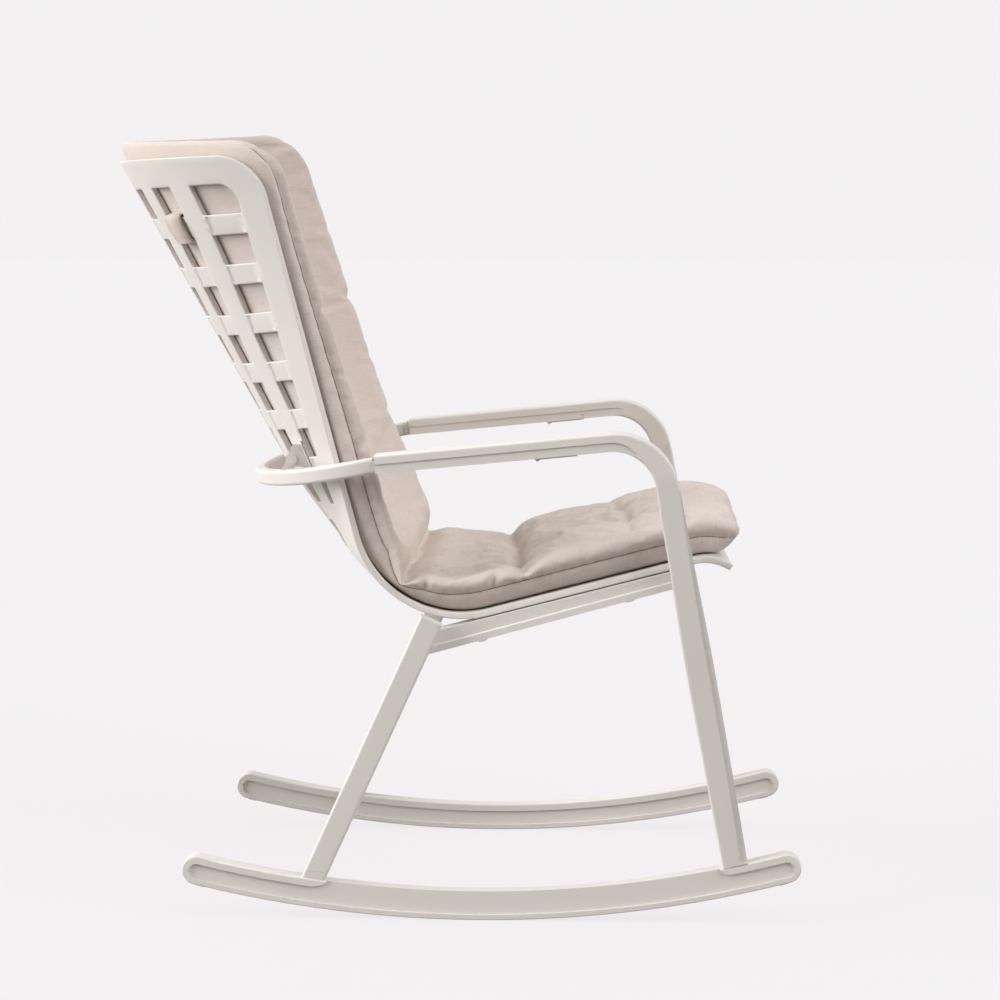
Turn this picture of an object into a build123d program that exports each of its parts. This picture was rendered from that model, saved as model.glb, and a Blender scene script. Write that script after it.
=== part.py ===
from build123d import *
import os
from math import acos, asin, atan2, cos, degrees, hypot, radians, sin, sqrt, tan

os.makedirs("parts", exist_ok=True)

# An outdoor rocking chair of moulded resin: the sitter faces -Y, +Z is up, the floor is Z = 0
# and X is sideways. Left is the sitter's left, which is +X. All sizes are millimetres.

# Clearances
JOINT_GAP = 0.25
SLIDE_GAP = 4.5
PIN_GAP = 0.2
SEAT_PAD_GAP = 0.7
BACK_PAD_GAP = 3.2
PAD_SPLIT = 3.0
FLEX_GAP = 0.5

# Rockers: bars of a ring whose middle is under the chair's centre of mass
ROCKER_RADIUS = 1758.0
ROCKER_MID_Y = -38.0
ROCKER_TALL = 42.0
ROCKER_THICK = 28.0
ROCKER_OUT = 292.0
ROCKER_BACK_Y = 367.0
ROCKER_FRONT_Y = -491.6
FLANGE_TOP = 11.0
FLANGE_LOW = 8.0
RECESS_DEEP = 4.0
RECESS_SWEEP_BACK = 48.0
RECESS_SWEEP_FRONT = 30.0
BUMPER_LONG = 16.0
BUMPER_WIDE = 12.0
BUMPER_PROUD = 2.2
BUMPER_SUNK = 5.0

# Front leg and armrest, one moulding
ARM_OUT = 332.5
ARM_WIDE = 45.0
ARM_TALL = 26.0
ARM_BACK_Y = 99.0
ARM_BACK_Z = 669.0
ARM_SLOPE = 5.6
ARM_BEND = 76.0
ARM_WALL = 4.0
ARM_ROOF = 4.5
ARM_BAND = 12.5
ARM_BAND_DEEP = 2.2
ARM_BAND_END = 45.0
LEG_FOOT_Y = -421.0
LEG_FOOT_Z = 78.0
LEG_SPARE = 14.0
LEG_HIP_Y = -320.0
LEG_HIP_Z = 612.0
LEG_THICK = 24.0
HIP_EXTRA = 8.0
LEG_FOOT_WIDE = 37.0
LEG_MID_WIDE = 41.0
LEG_HIP_WIDE = 32.0
LEG_GROOVE = 10.5
LEG_GROOVE_EDGE = 2.5
LEG_GROOVE_DEEP = 3.0

# Rear leg
REAR_FOOT_Y = 189.0
REAR_FOOT_Z = 74.0
REAR_TOP_Y = 20.5
REAR_TOP_Z = 444.0
REAR_WIDE = 33.5
REAR_STUB = 12.0

# Side rails and cross bars
RAIL_IN = 252.0
RAIL_BACK_Y = 34.0
RAIL_FRONT_Y = -352.0
RAIL_BACK_Z = 389.0
RAIL_SLOPE = 15.6
RAIL_WEB_DEEP = 3.0
RAIL_FLANGE = 10.0
CROSS_TALL = 14.0
CROSS_WIDE = 42.0
CROSS_RISE = 2.0
CROSS_TENON = 8.0
CROSS_FRONT_Y = -222.0
CROSS_REAR_Y = -84.0

# Shell: a lattice that is flat at the seat and wraps round at the top of the back
SHELL_HALF = 280.0
SHELL_THICK = 9.5
SEAT_SLOPE = 14.6
SEAT_MARK_Y = -48.0
SEAT_MARK_Z = 453.0
SEAT_DISH = 8.0
LIP_START_Y = -352.0
LIP_RADIUS = 72.0
LIP_TURN = 50.0
BEND_RADIUS = 150.0
BACK_LEAN = 14.82
BACK_MARK_Y = 155.0
BACK_MARK_Z = 674.0
BACK_TOP_Z = 1106.0
TOP_TILT = 2.0
SPINE_MARK_Y = 291.6
SPINE_MARK_Z = 720.0
SPINE_RISE = 0.56
FLEX_ANGLE = 52.0
FLEX_SAG = 14.0
BEND_END_SAG = 52.0
RIM_WIDE = 43.0
RIM_CORNER = 60.0
STRIP_WIDE = 44.0
STRIP_EDGE_TOP = 263.0
STRIP_EDGE_LOW = 236.0
STRIP_EDGE_TOP_Z = 1050.0
STRIP_EDGE_LOW_Z = 846.0
STRIPS_AT = (-1.0, -0.6, -0.2, 0.2, 0.6, 1.0)
BAR_SUNK = 1.5
SUNK_EDGE = 2.5
WINDOW_TOP_Z = 1067.0
WINDOW_TALL = 41.0
WINDOW_PITCH = 69.3
WINDOW_ROWS = 8
WINDOW_CORNER = 3.0
SEAT_ROWS_Y = (-320.0, -258.0, -196.0, -134.0, -72.0)
SEAT_ROW_LONG = 38.0

# Rear hoop, its tongues in the armrests, its brackets and pins
HOOP_TILT = 11.3
HOOP_TALL = 23.0
HOOP_THICK = 18.0
HOOP_BACK = 205.0
HOOP_CORNER = 150.0
HOOP_REAR_RADIUS = 420.0
TONGUE_LONG = 72.0
TONGUE_TALL = 14.0
TONGUE_WIDE = 29.0
PIVOT_X = 215.0
PIVOT_Y = 230.0
PIVOT_Z = 666.0
PIVOT_RADIUS = 4.0
PIN_HEAD_RADIUS = 8.0
PIN_HEAD = 2.5
LUG_WIDE = 14.0
LUG_RADIUS = 7.5
CHEEK_WIDE = 5.0
CHEEK_RADIUS = 8.5
BRACKET_PLATE = 3.0

# Release levers
LEVER_BACK_Y = -124.0
LEVER_FRONT_Y = -190.0
LEVER_THICK = 4.0
LEVER_SIDE_GAP = 1.0
LEVER_PIN_RADIUS = 2.5
LEVER_TAB_DROP = 8.0
LEVER_TAB_LONG = 20.0
LEVER_RIB = 2.0

# Fasteners
BOLT_RADIUS = 4.0
BOLT_HEAD_RADIUS = 7.0
BOLT_HEAD = 5.0
SEAT_BOLT_X = 267.0
SEAT_BOLT_Y = (-50.0, -262.0)
SCREW_RADIUS = 3.0
SCREW_HEAD_RADIUS = 5.5
SCREW_HEAD = 3.5
SCREW_LONG = 44.0

# Pad
SEAT_PAD_THICK = 74.0
SEAT_PAD_EDGE = 66.0
BACK_PAD_THICK = 56.0
BACK_PAD_EDGE = 46.0
PAD_CHANNEL = 13.0
PAD_TOP_Z = 1139.0
PAD_BACK_OVER = 26.0
PAD_SIDE_IN = 6.0
PAD_CHANNELS_Z = (640.0, 760.0, 880.0, 995.0)
PAD_CHANNELS_Y = (-88.0, -240.0)

# Straps
STRAP_WIDE = 28.0
STRAP_THICK = 1.6
STRAP_GAP = 1.0
STRAP_CORNER = 3.0


def polar(y, z, angle, length):
    """The point a length away in the YZ plane; the angle turns from +Y towards -Z."""
    return (y + length * cos(radians(angle)), z - length * sin(radians(angle)))


class Station:
    """One cross-section of the shell: the rim point, the way down through the shell and the sag."""

    def __init__(self, y, z, down, sag):
        self.y = y
        self.z = z
        self.down = down
        self.sag = sag
        self.radius = (SHELL_HALF**2 + sag**2) / (2 * sag)
        self.half = self.radius * asin(SHELL_HALF / self.radius)

    def at(self, along, lift):
        """A point at an arc length from the middle and a height out of the inner face."""
        turn = along / self.radius
        reach = self.radius + lift
        y, z = polar(self.y, self.z, self.down, self.sag - self.radius + reach * cos(turn))
        return Vector(reach * sin(turn), y, z)

    def strip(self, left, right, low, high):
        """A closed strip of the cross-section between two arc lengths and two heights."""
        middle = (left + right) / 2
        under = ThreePointArc(self.at(left, low), self.at(middle, low), self.at(right, low))
        over = ThreePointArc(self.at(right, high), self.at(middle, high), self.at(left, high))
        side = Line(self.at(right, low), self.at(right, high))
        back = Line(self.at(left, high), self.at(left, low))
        return Wire([under, side, over, back])


def blend(value, low, high, at_low, at_high):
    share = min(1.0, max(0.0, (value - low) / (high - low)))
    return at_low + (at_high - at_low) * share


def seat_z(y):
    return SEAT_MARK_Z - (y - SEAT_MARK_Y) * tan(radians(SEAT_SLOPE))


def back_y(z):
    return BACK_MARK_Y + (z - BACK_MARK_Z) * tan(radians(BACK_LEAN))


# The rim's bend is tangent to the line of the seat and the line of the back
SEAT_DOWN = 90 + SEAT_SLOPE
BEND_TURN = SEAT_DOWN - BACK_LEAN
CORNER_RISE = SEAT_MARK_Z - (back_y(0.0) - SEAT_MARK_Y) * tan(radians(SEAT_SLOPE))
CORNER_Z = CORNER_RISE / (1 + tan(radians(BACK_LEAN)) * tan(radians(SEAT_SLOPE)))
CORNER_Y = back_y(CORNER_Z)
BEND_REACH = BEND_RADIUS * tan(radians(BEND_TURN / 2))
BEND_SEAT_Y = CORNER_Y - BEND_REACH * cos(radians(SEAT_SLOPE))
BEND_BACK_Z = CORNER_Z + BEND_REACH * cos(radians(BACK_LEAN))
BEND_MID = polar(BEND_SEAT_Y, seat_z(BEND_SEAT_Y), SEAT_DOWN, -BEND_RADIUS)


def seat_station(y):
    return Station(y, seat_z(y), SEAT_DOWN, SEAT_DISH)


def lip_station(turn):
    """The front edge turns down; the turn is in degrees from the seat's own slope."""
    middle = polar(LIP_START_Y, seat_z(LIP_START_Y), SEAT_DOWN, LIP_RADIUS)
    y, z = polar(middle[0], middle[1], SEAT_DOWN - turn, -LIP_RADIUS)
    return Station(y, z, SEAT_DOWN - turn, SEAT_DISH)


def bend_station(turn):
    y, z = polar(BEND_MID[0], BEND_MID[1], SEAT_DOWN - turn, BEND_RADIUS)
    if turn < FLEX_ANGLE:
        sag = blend(turn, 0, FLEX_ANGLE, SEAT_DISH, FLEX_SAG)
    else:
        sag = blend(turn, FLEX_ANGLE, BEND_TURN, FLEX_SAG, BEND_END_SAG)
    return Station(y, z, SEAT_DOWN - turn, sag)


def back_station(z):
    """The middle of the back follows a straight spine that leans more than the rims do."""
    y = back_y(z)
    down = blend(z, BEND_BACK_Z, BACK_TOP_Z, BACK_LEAN, TOP_TILT)
    reach = SPINE_MARK_Y + (z - SPINE_MARK_Z) * SPINE_RISE - y
    sag = reach / (cos(radians(down)) + SPINE_RISE * sin(radians(down)))
    ease = blend(z, BEND_BACK_Z, BEND_BACK_Z + 90, 1.0, 0.0)
    start = BEND_END_SAG + (z - BEND_BACK_Z) * 0.36
    return Station(y, z, down, sag + (start - sag) * ease)


def strip_edge(z):
    """The outer edge of the outermost strip at a height of the rim."""
    return blend(z, STRIP_EDGE_LOW_Z, STRIP_EDGE_TOP_Z, STRIP_EDGE_LOW, STRIP_EDGE_TOP)


def columns(station, z):
    """Where the windows of a row begin and end, from one rim to the other."""
    outer = strip_edge(z) - STRIP_WIDE / 2
    edges = [-(station.half - RIM_WIDE)]
    for share in STRIPS_AT:
        edges.append(outer * share - STRIP_WIDE / 2)
        edges.append(outer * share + STRIP_WIDE / 2)
    edges.append(station.half - RIM_WIDE)
    return [(edges[i], edges[i + 1]) for i in range(0, len(edges), 2)]


def window(upper, lower, top_edges, low_edges, corners):
    """A cutter through the shell, square to it, from the corners of one window."""
    lift = SHELL_THICK / 2
    points = [
        upper.at(top_edges[0], lift),
        upper.at(top_edges[1], lift),
        lower.at(low_edges[1], lift),
        lower.at(low_edges[0], lift),
    ]
    middle = (points[0] + points[1] + points[2] + points[3]) / 4
    out = (points[2] - points[0]).cross(points[3] - points[1])
    plane = Plane(origin=middle, x_dir=points[1] - points[0], z_dir=out)
    flat = [plane.to_local_coords(p) for p in points]
    sketch = make_face(Polyline(*[(p.X, p.Y) for p in flat], close=True))
    for p, corner in zip(flat, corners):
        near = sketch.vertices().sort_by_distance(Vector(p.X, p.Y, 0))[0]
        sketch = fillet(near, corner)
    return extrude(plane * sketch, 24, both=True)


def lofted(wires):
    return Solid.make_loft(wires)


def back_shell():
    heights = [580, 600, 640, 700, 760, 820, 880, 940, 1000, 1055, BACK_TOP_Z]
    flex_step = degrees(FLEX_GAP / BEND_RADIUS)
    stations = [bend_station(t) for t in (FLEX_ANGLE + flex_step, 60, 68, 76, 84)]
    stations = stations + [back_station(BEND_BACK_Z)]
    stations = stations + [back_station(z) for z in heights]
    shell = lofted([s.strip(-s.half, s.half, 0, SHELL_THICK) for s in stations])
    cutters = []
    # Each column is sunk a little, so the strips and the rim stand proud of the bars
    lowest = WINDOW_TOP_Z - WINDOW_PITCH * (WINDOW_ROWS - 1) - WINDOW_TALL - SUNK_EDGE
    sunk_heights = [lowest, 600, 670, 740, 810, 880, 950, 1010, WINDOW_TOP_Z + SUNK_EDGE]
    for column in range(len(STRIPS_AT) + 1):
        outermost = column in (0, len(STRIPS_AT))
        wires = []
        for z in sunk_heights[2:] if outermost else sunk_heights:
            station = back_station(z)
            left, right = columns(station, z)[column]
            wires.append(
                station.strip(left - SUNK_EDGE, right + SUNK_EDGE, SHELL_THICK - BAR_SUNK, SHELL_THICK + 4)
            )
        cutters.append(lofted(wires))
    for row in range(WINDOW_ROWS):
        top_z = WINDOW_TOP_Z - WINDOW_PITCH * row
        low_z = top_z - WINDOW_TALL
        upper = back_station(top_z)
        lower = back_station(low_z)
        pairs = list(zip(columns(upper, top_z), columns(lower, low_z)))
        for column, (top_edges, low_edges) in enumerate(pairs):
            if low_edges[1] - low_edges[0] < 8:
                continue
            corners = [WINDOW_CORNER] * 4
            if row == 0 and column == 0:
                corners[0] = RIM_CORNER - RIM_WIDE * 0.8
            if row == 0 and column == len(STRIPS_AT):
                corners[1] = RIM_CORNER - RIM_WIDE * 0.8
            cutters.append(window(upper, lower, top_edges, low_edges, corners))
    for side in (-1, 1):
        cutters.append(corner_cutter(side))
    return shell - cutters


def corner_cutter(side):
    """What rounds the top corner of a wing: a square less a quarter disc, square to the wing."""
    top = back_station(BACK_TOP_Z)
    lower = back_station(BACK_TOP_Z - RIM_CORNER)
    corner = top.at(side * top.half, SHELL_THICK / 2)
    inward = top.at(side * (top.half - RIM_CORNER), SHELL_THICK / 2)
    down = lower.at(side * lower.half, SHELL_THICK / 2)
    plane = Plane(origin=corner, x_dir=inward - corner, z_dir=(inward - corner).cross(down - corner))
    spare = 12.0
    square = make_face(
        Polyline(
            (-spare, -spare), (RIM_CORNER, -spare), (RIM_CORNER, RIM_CORNER), (-spare, RIM_CORNER), close=True
        )
    )
    disc = Pos(RIM_CORNER, RIM_CORNER) * Circle(RIM_CORNER)
    return extrude(plane * (square - disc), 40, both=True)


def seat_shell():
    flex_step = degrees(FLEX_GAP / BEND_RADIUS)
    stations = [lip_station(t) for t in (LIP_TURN, 40, 30, 20, 10)]
    stations = stations + [seat_station(y) for y in (LIP_START_Y, -335, -300, -200, -110, -75)]
    stations = stations + [bend_station(t) for t in (0, 9, 20, 31, 42, FLEX_ANGLE - flex_step)]
    shell = lofted([s.strip(-s.half, s.half, 0, SHELL_THICK) for s in stations])
    cutters = []
    for y in SEAT_ROWS_Y:
        front = seat_station(y - SEAT_ROW_LONG / 2)
        rear = seat_station(y + SEAT_ROW_LONG / 2)
        edges = columns(front, 0)
        for column in edges[1:-1]:
            cutters.append(window(front, rear, column, column, [WINDOW_CORNER] * 4))
    for side in (-1, 1):
        for y in SEAT_BOLT_Y:
            cutters.append(seat_bolt_hole(side, y))
    return shell - cutters


def rail_low(y):
    """The height of the rail's underside."""
    return RAIL_BACK_Z - (y - RAIL_BACK_Y) * tan(radians(RAIL_SLOPE))


def rail_top(y):
    """The height of the rail's upper side, which the seat shell lies on."""
    edge_sag = SEAT_DISH * (1 - (RAIL_IN / SHELL_HALF) ** 2)
    return seat_z(y) - (SHELL_THICK + edge_sag + JOINT_GAP) / cos(radians(SEAT_SLOPE))


def rail_plane(x, y):
    """A plane on the rail's underside that points up square to the seat."""
    slope = radians(SEAT_SLOPE)
    return Plane(origin=(x, y, rail_low(y)), x_dir=(1, 0, 0), z_dir=(0, sin(slope), cos(slope)))


def seat_bolt_hole(side, y):
    return rail_plane(side * SEAT_BOLT_X, y) * Cylinder(BOLT_RADIUS + PIN_GAP, 100)


def seat_bolt(side, y):
    long = (rail_top(y) - rail_low(y)) * cos(radians(SEAT_SLOPE)) + SHELL_THICK - 3.0
    shank = Pos(0, 0, (long - JOINT_GAP) / 2) * Cylinder(BOLT_RADIUS, long + JOINT_GAP)
    head = Pos(0, 0, -BOLT_HEAD / 2 - JOINT_GAP) * Cylinder(BOLT_HEAD_RADIUS, BOLT_HEAD)
    head = fillet(head.edges().group_by(Axis.Z)[0], 1.5)
    return rail_plane(side * SEAT_BOLT_X, y) * (shank + head)


def leg_lean(z):
    """How far out the outer face of a leg stands at a height: the legs splay up to the armrests."""
    return ROCKER_OUT + (ARM_OUT - ROCKER_OUT) * (z - LEG_FOOT_Z) / (LEG_HIP_Z + 40 - LEG_FOOT_Z)


def leg_inner(z):
    return leg_lean(z) - LEG_THICK


def rocker_ring(low, high, back_y_at, front_y_at):
    """A piece of the rocker's ring in the YZ plane between two radii, with rounded tips."""

    def on(radius, y):
        turn = asin((y - ROCKER_MID_Y) * 2 / (low + high))
        return (ROCKER_MID_Y + radius * sin(turn), ROCKER_RADIUS - radius * cos(turn))

    mid_y = (back_y_at + front_y_at) / 2
    under = ThreePointArc(on(high, front_y_at), on(high, mid_y), on(high, back_y_at))
    over = ThreePointArc(on(low, back_y_at), on(low, mid_y), on(low, front_y_at))
    back_tip = ThreePointArc(under @ 1, tip_end(low, high, back_y_at, 1), over @ 0)
    front_tip = ThreePointArc(over @ 1, tip_end(low, high, front_y_at, -1), under @ 0)
    return make_face(Wire([under, back_tip, over, front_tip]))


def tip_end(low, high, y, way):
    """The middle of a rounded tip."""
    radius = (low + high) / 2
    turn = asin((y - ROCKER_MID_Y) / radius)
    half = (high - low) / 2
    at_y = ROCKER_MID_Y + radius * sin(turn) + way * half * cos(turn)
    at_z = ROCKER_RADIUS - radius * cos(turn) + way * half * sin(turn)
    return (at_y, at_z)


def upright(face, from_x, to_x):
    """A face drawn in the YZ plane, made thick along X."""
    return extrude(Plane(origin=(from_x, 0, 0), x_dir=(0, 1, 0), z_dir=(1, 0, 0)) * face, to_x - from_x)


def rocker_top(y):
    return ROCKER_RADIUS - sqrt((ROCKER_RADIUS - ROCKER_TALL) ** 2 - (y - ROCKER_MID_Y) ** 2)


def rear_leg_bar(side):
    """The rear leg as a straight blade that leans out with height, before it is cut to length."""
    wires = []
    for share in (-0.12, 0.25, 0.62, 1.0):
        y = REAR_FOOT_Y + (REAR_TOP_Y - REAR_FOOT_Y) * share
        z = REAR_FOOT_Z + (REAR_TOP_Z - REAR_FOOT_Z) * share
        outer = leg_lean(z)
        along = Vector(0, REAR_TOP_Y - REAR_FOOT_Y, REAR_TOP_Z - REAR_FOOT_Z)
        plane = Plane(origin=(side * (outer - LEG_THICK / 2), y, z), x_dir=(1, 0, 0), z_dir=along)
        wires.append((plane * RectangleRounded(LEG_THICK, REAR_WIDE, 4.0)).wire())
    return lofted(wires)


def below_rocker_top(extra):
    """A block that holds everything lower than a curve above the rockers' top."""
    radius = ROCKER_RADIUS - ROCKER_TALL - extra
    block = Pos(0, 0, 100) * Box(900, 1400, 400)
    roll = Pos(0, ROCKER_MID_Y, ROCKER_RADIUS) * Rot(0, 90, 0) * Cylinder(radius, 900)
    return block - roll


def ring_point(radius, y):
    """A point at a radius of the rocker's ring, on the spoke through a place on its middle line."""
    turn = asin((y - ROCKER_MID_Y) / (ROCKER_RADIUS - ROCKER_TALL / 2))
    return (ROCKER_MID_Y + radius * sin(turn), ROCKER_RADIUS - radius * cos(turn))


def leg_edge(foot, top, offset):
    """Where the edge of a leg, at an offset from its middle line, meets the rocker's top."""
    length = hypot(top[0] - foot[0], top[1] - foot[1])
    along = ((top[0] - foot[0]) / length, (top[1] - foot[1]) / length)
    y = foot[0] + offset * along[1]
    z = foot[1] - offset * along[0]
    return y + (rocker_top(y) - z) * along[0] / along[1], along


def rocker_slot():
    """The sunk part of a rocker's inner side, inside a flange all round."""
    low = ROCKER_RADIUS - ROCKER_TALL + FLANGE_TOP
    return rocker_ring(low, ROCKER_RADIUS - FLANGE_LOW, ROCKER_BACK_Y, ROCKER_FRONT_Y)


def rocker_recess():
    """The sunk part of a rocker's outer side: open at the top between the legs, where the flange that
    comes round each tip sweeps up into a leg."""
    deep = ROCKER_RADIUS - ROCKER_TALL + FLANGE_TOP + 3
    above = ROCKER_RADIUS - ROCKER_TALL - 4
    back, back_way = leg_edge((REAR_FOOT_Y, REAR_FOOT_Z), (REAR_TOP_Y, REAR_TOP_Z), -REAR_WIDE / 2 - 3)
    front, front_way = leg_edge((LEG_FOOT_Y, LEG_FOOT_Z), (LEG_HIP_Y, LEG_HIP_Z), LEG_FOOT_WIDE / 2 + 3)
    front_low = ring_point(deep, front - RECESS_SWEEP_FRONT)
    back_low = ring_point(deep, back + RECESS_SWEEP_BACK)
    front_high = ring_point(above, front)
    back_high = ring_point(above, back)
    under = ThreePointArc(front_low, ring_point(deep, ROCKER_MID_Y), back_low)
    back_sweep = Spline(back_low, back_high, tangents=((-1, -0.12), back_way))
    over = ThreePointArc(back_high, ring_point(above, ROCKER_MID_Y), front_high)
    front_sweep = Spline(front_high, front_low, tangents=((-front_way[0], -front_way[1]), (-1, 0.2)))
    return rocker_slot() + make_face(Wire([under, back_sweep, over, front_sweep]))


def rocker(side):
    thin = ROCKER_OUT - ROCKER_THICK
    outer_radius = ROCKER_RADIUS
    inner_radius = ROCKER_RADIUS - ROCKER_TALL
    ring = rocker_ring(inner_radius, outer_radius, ROCKER_BACK_Y, ROCKER_FRONT_Y)
    body = upright(ring, thin, ROCKER_OUT)
    body = fillet(body.edges().filter_by(GeomType.CIRCLE).group_by(Axis.X)[0], 2.0)
    body = fillet(body.edges().filter_by(GeomType.CIRCLE).group_by(Axis.X)[-1], 2.0)
    body = body - upright(rocker_recess(), ROCKER_OUT - RECESS_DEEP, ROCKER_OUT + 1)
    body = body - upright(rocker_slot(), thin - 1, thin + RECESS_DEEP)
    body = body if side > 0 else mirror(body, about=Plane.YZ)
    stub = rear_leg_bar(side) & below_rocker_top(REAR_STUB)
    stub = stub - below_rocker_top(-4.0)
    body = body + stub
    for hole in bumper_sockets(side):
        body = body - hole
    for y, way in foot_screws():
        body = body - screw_hole(side, y, way, PIN_GAP)
    return body


def bumper_places():
    return (ROCKER_BACK_Y - 4.0, ROCKER_FRONT_Y + 4.0)


def bumper_block(side, y, spare):
    turn = degrees(asin((y - ROCKER_MID_Y) / ROCKER_RADIUS))
    z = ROCKER_RADIUS - sqrt(ROCKER_RADIUS**2 - (y - ROCKER_MID_Y) ** 2)
    plane = Plane(
        origin=(side * (ROCKER_OUT - ROCKER_THICK / 2), y, z),
        x_dir=(1, 0, 0),
        z_dir=(0, -sin(radians(turn)), cos(radians(turn))),
    )
    return plane * Pos(0, 0, (BUMPER_SUNK - BUMPER_PROUD) / 2) * extrude(
        RectangleRounded(BUMPER_WIDE + 2 * spare, BUMPER_LONG + 2 * spare, 4.0 + spare),
        (BUMPER_SUNK + BUMPER_PROUD) / 2 + spare,
        both=True,
    )


def bumper_sockets(side):
    return [bumper_block(side, y, JOINT_GAP) for y in bumper_places()]


def bumper(side, y):
    return bumper_block(side, y, 0.0)


def foot_screws():
    """Where each leg is screwed up from under its rocker, and the way the screw points."""
    rear = Vector(0, REAR_TOP_Y - REAR_FOOT_Y, REAR_TOP_Z - REAR_FOOT_Z).normalized()
    front = Vector(0, LEG_HIP_Y - LEG_FOOT_Y, LEG_HIP_Z - LEG_FOOT_Z).normalized()
    rear_y = REAR_FOOT_Y + (REAR_TOP_Y - REAR_FOOT_Y) * -0.12
    front_y = LEG_FOOT_Y + (LEG_HIP_Y - LEG_FOOT_Y) * -0.08
    return ((rear_y, rear), (front_y, front))


def screw_plane(side, y, way):
    z = ROCKER_RADIUS - sqrt(ROCKER_RADIUS**2 - (y - ROCKER_MID_Y) ** 2)
    return Plane(origin=(side * (ROCKER_OUT - ROCKER_THICK / 2 + 1), y, z), x_dir=(1, 0, 0), z_dir=way)


def screw_hole(side, y, way, spare):
    plane = screw_plane(side, y, way)
    long = ROCKER_TALL + SCREW_LONG
    shank = Pos(0, 0, long / 2) * Cylinder(SCREW_RADIUS + spare, long)
    sink = Pos(0, 0, -10) * Cylinder(SCREW_HEAD_RADIUS + spare, 40 + 2 * spare)
    return plane * (shank + sink)


def foot_screw(side, y, way):
    plane = screw_plane(side, y, way)
    shank = Pos(0, 0, 10 + SCREW_LONG / 2) * Cylinder(SCREW_RADIUS, SCREW_LONG)
    head = Pos(0, 0, 10 - SCREW_HEAD / 2 - PIN_GAP) * Cylinder(SCREW_HEAD_RADIUS, SCREW_HEAD)
    neck = Pos(0, 0, 10 - PIN_GAP) * Cylinder(SCREW_RADIUS, 2 * PIN_GAP)
    return plane * (shank + head + neck)


def rear_leg(side):
    bar = rear_leg_bar(side)
    leg = bar - below_rocker_top(REAR_STUB + JOINT_GAP)
    foot_y, way = foot_screws()[0]
    leg = leg - screw_hole(side, foot_y, way, PIN_GAP)
    return leg - rail_screw_hole(side, rear_rail_screw())


def arm_point(along):
    """A point on the armrest's middle line, an arm's length forward of its rear end."""
    slope = radians(ARM_SLOPE)
    return (ARM_BACK_Y - along * cos(slope), ARM_BACK_Z + along * sin(slope))


def arm_spot(along, rise):
    """A point of the armrest's side view: how far along it, and how far above its middle line."""
    slope = radians(ARM_SLOPE)
    y, z = arm_point(along)
    return (y + rise * sin(slope), z + rise * cos(slope))


def channel_sides():
    """How far in from the armrest's outer face its channel begins and ends."""
    wall = ARM_WALL + ARM_BAND_DEEP
    return wall, ARM_WIDE - wall


# The armrest's line and the leg's line meet in a round bend
ARM_LEAN = degrees(atan2(LEG_HIP_Z - LEG_FOOT_Z, LEG_HIP_Y - LEG_FOOT_Y))
BEND_AT = (LEG_HIP_Z - ARM_BACK_Z - (ARM_BACK_Y - LEG_HIP_Y) * tan(radians(ARM_SLOPE))) / (
    tan(radians(ARM_LEAN)) + tan(radians(ARM_SLOPE))
)
ELBOW_Y = LEG_HIP_Y - BEND_AT
ELBOW_Z = LEG_HIP_Z - BEND_AT * tan(radians(ARM_LEAN))
ELBOW_TURN = ARM_SLOPE + ARM_LEAN
ELBOW_REACH = ARM_BEND * tan(radians(ELBOW_TURN / 2))


def hip_outer(z):
    return min(ARM_OUT, leg_lean(z))


def arm_run():
    """How far the armrest is straight, from its rear end to the bend."""
    return hypot(ELBOW_Y - ARM_BACK_Y, ELBOW_Z - ARM_BACK_Z) - ELBOW_REACH


def bend_sections():
    """The bend from armrest to leg, section by section: place, direction of travel, thickness
    across the path, outer face and width along X."""
    sections = []
    start = arm_point(arm_run())
    middle = polar(start[0], start[1], 90 + ARM_SLOPE, ARM_BEND)
    for step in range(7):
        share = step / 6
        turn = ELBOW_TURN * share
        y, z = polar(middle[0], middle[1], 270 + ARM_SLOPE - turn, ARM_BEND)
        wide = ARM_WIDE + (LEG_THICK + HIP_EXTRA - ARM_WIDE) * share
        tall = ARM_TALL + (LEG_HIP_WIDE - ARM_TALL) * share
        sections.append((y, z, 180 + ARM_SLOPE - turn, tall, hip_outer(z), wide))
    return sections


def leg_sections():
    """The leg from the bend to just under the rocker's top."""
    end_y, end_z, travel = bend_sections()[-1][:3]
    sections = []
    for step in range(8):
        share = step / 7
        y = end_y + (LEG_FOOT_Y - end_y) * share
        z = end_z + (LEG_FOOT_Z - LEG_SPARE - end_z) * share
        tall = blend(share, 0.0, 0.45, LEG_HIP_WIDE, LEG_MID_WIDE)
        tall = tall if share < 0.5 else blend(share, 0.5, 1.0, LEG_MID_WIDE, LEG_FOOT_WIDE)
        wide = blend(share, 0.0, 0.14, LEG_THICK + HIP_EXTRA, LEG_THICK)
        sections.append((y, z, travel, tall, leg_lean(z), wide))
    return sections


def arm_wire(side, section):
    y, z, travel, tall, outer, wide = section
    way = Vector(0, cos(radians(travel)), -sin(radians(travel)))
    plane = Plane(origin=(side * (outer - wide / 2), y, z), x_dir=(side, 0, 0), z_dir=way)
    return (plane * RectangleRounded(wide, tall, 3.5)).wire()


def arm_moulding(side):
    sections = bend_sections()
    first = make_face(arm_wire(side, sections[0]))
    back = radians(sections[0][2])
    armrest = extrude(first, arm_run(), dir=(0, -cos(back), sin(back)))
    bend = lofted([arm_wire(side, section) for section in sections])
    leg = lofted([arm_wire(side, section) for section in leg_sections()])
    return armrest + bend + leg


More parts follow.
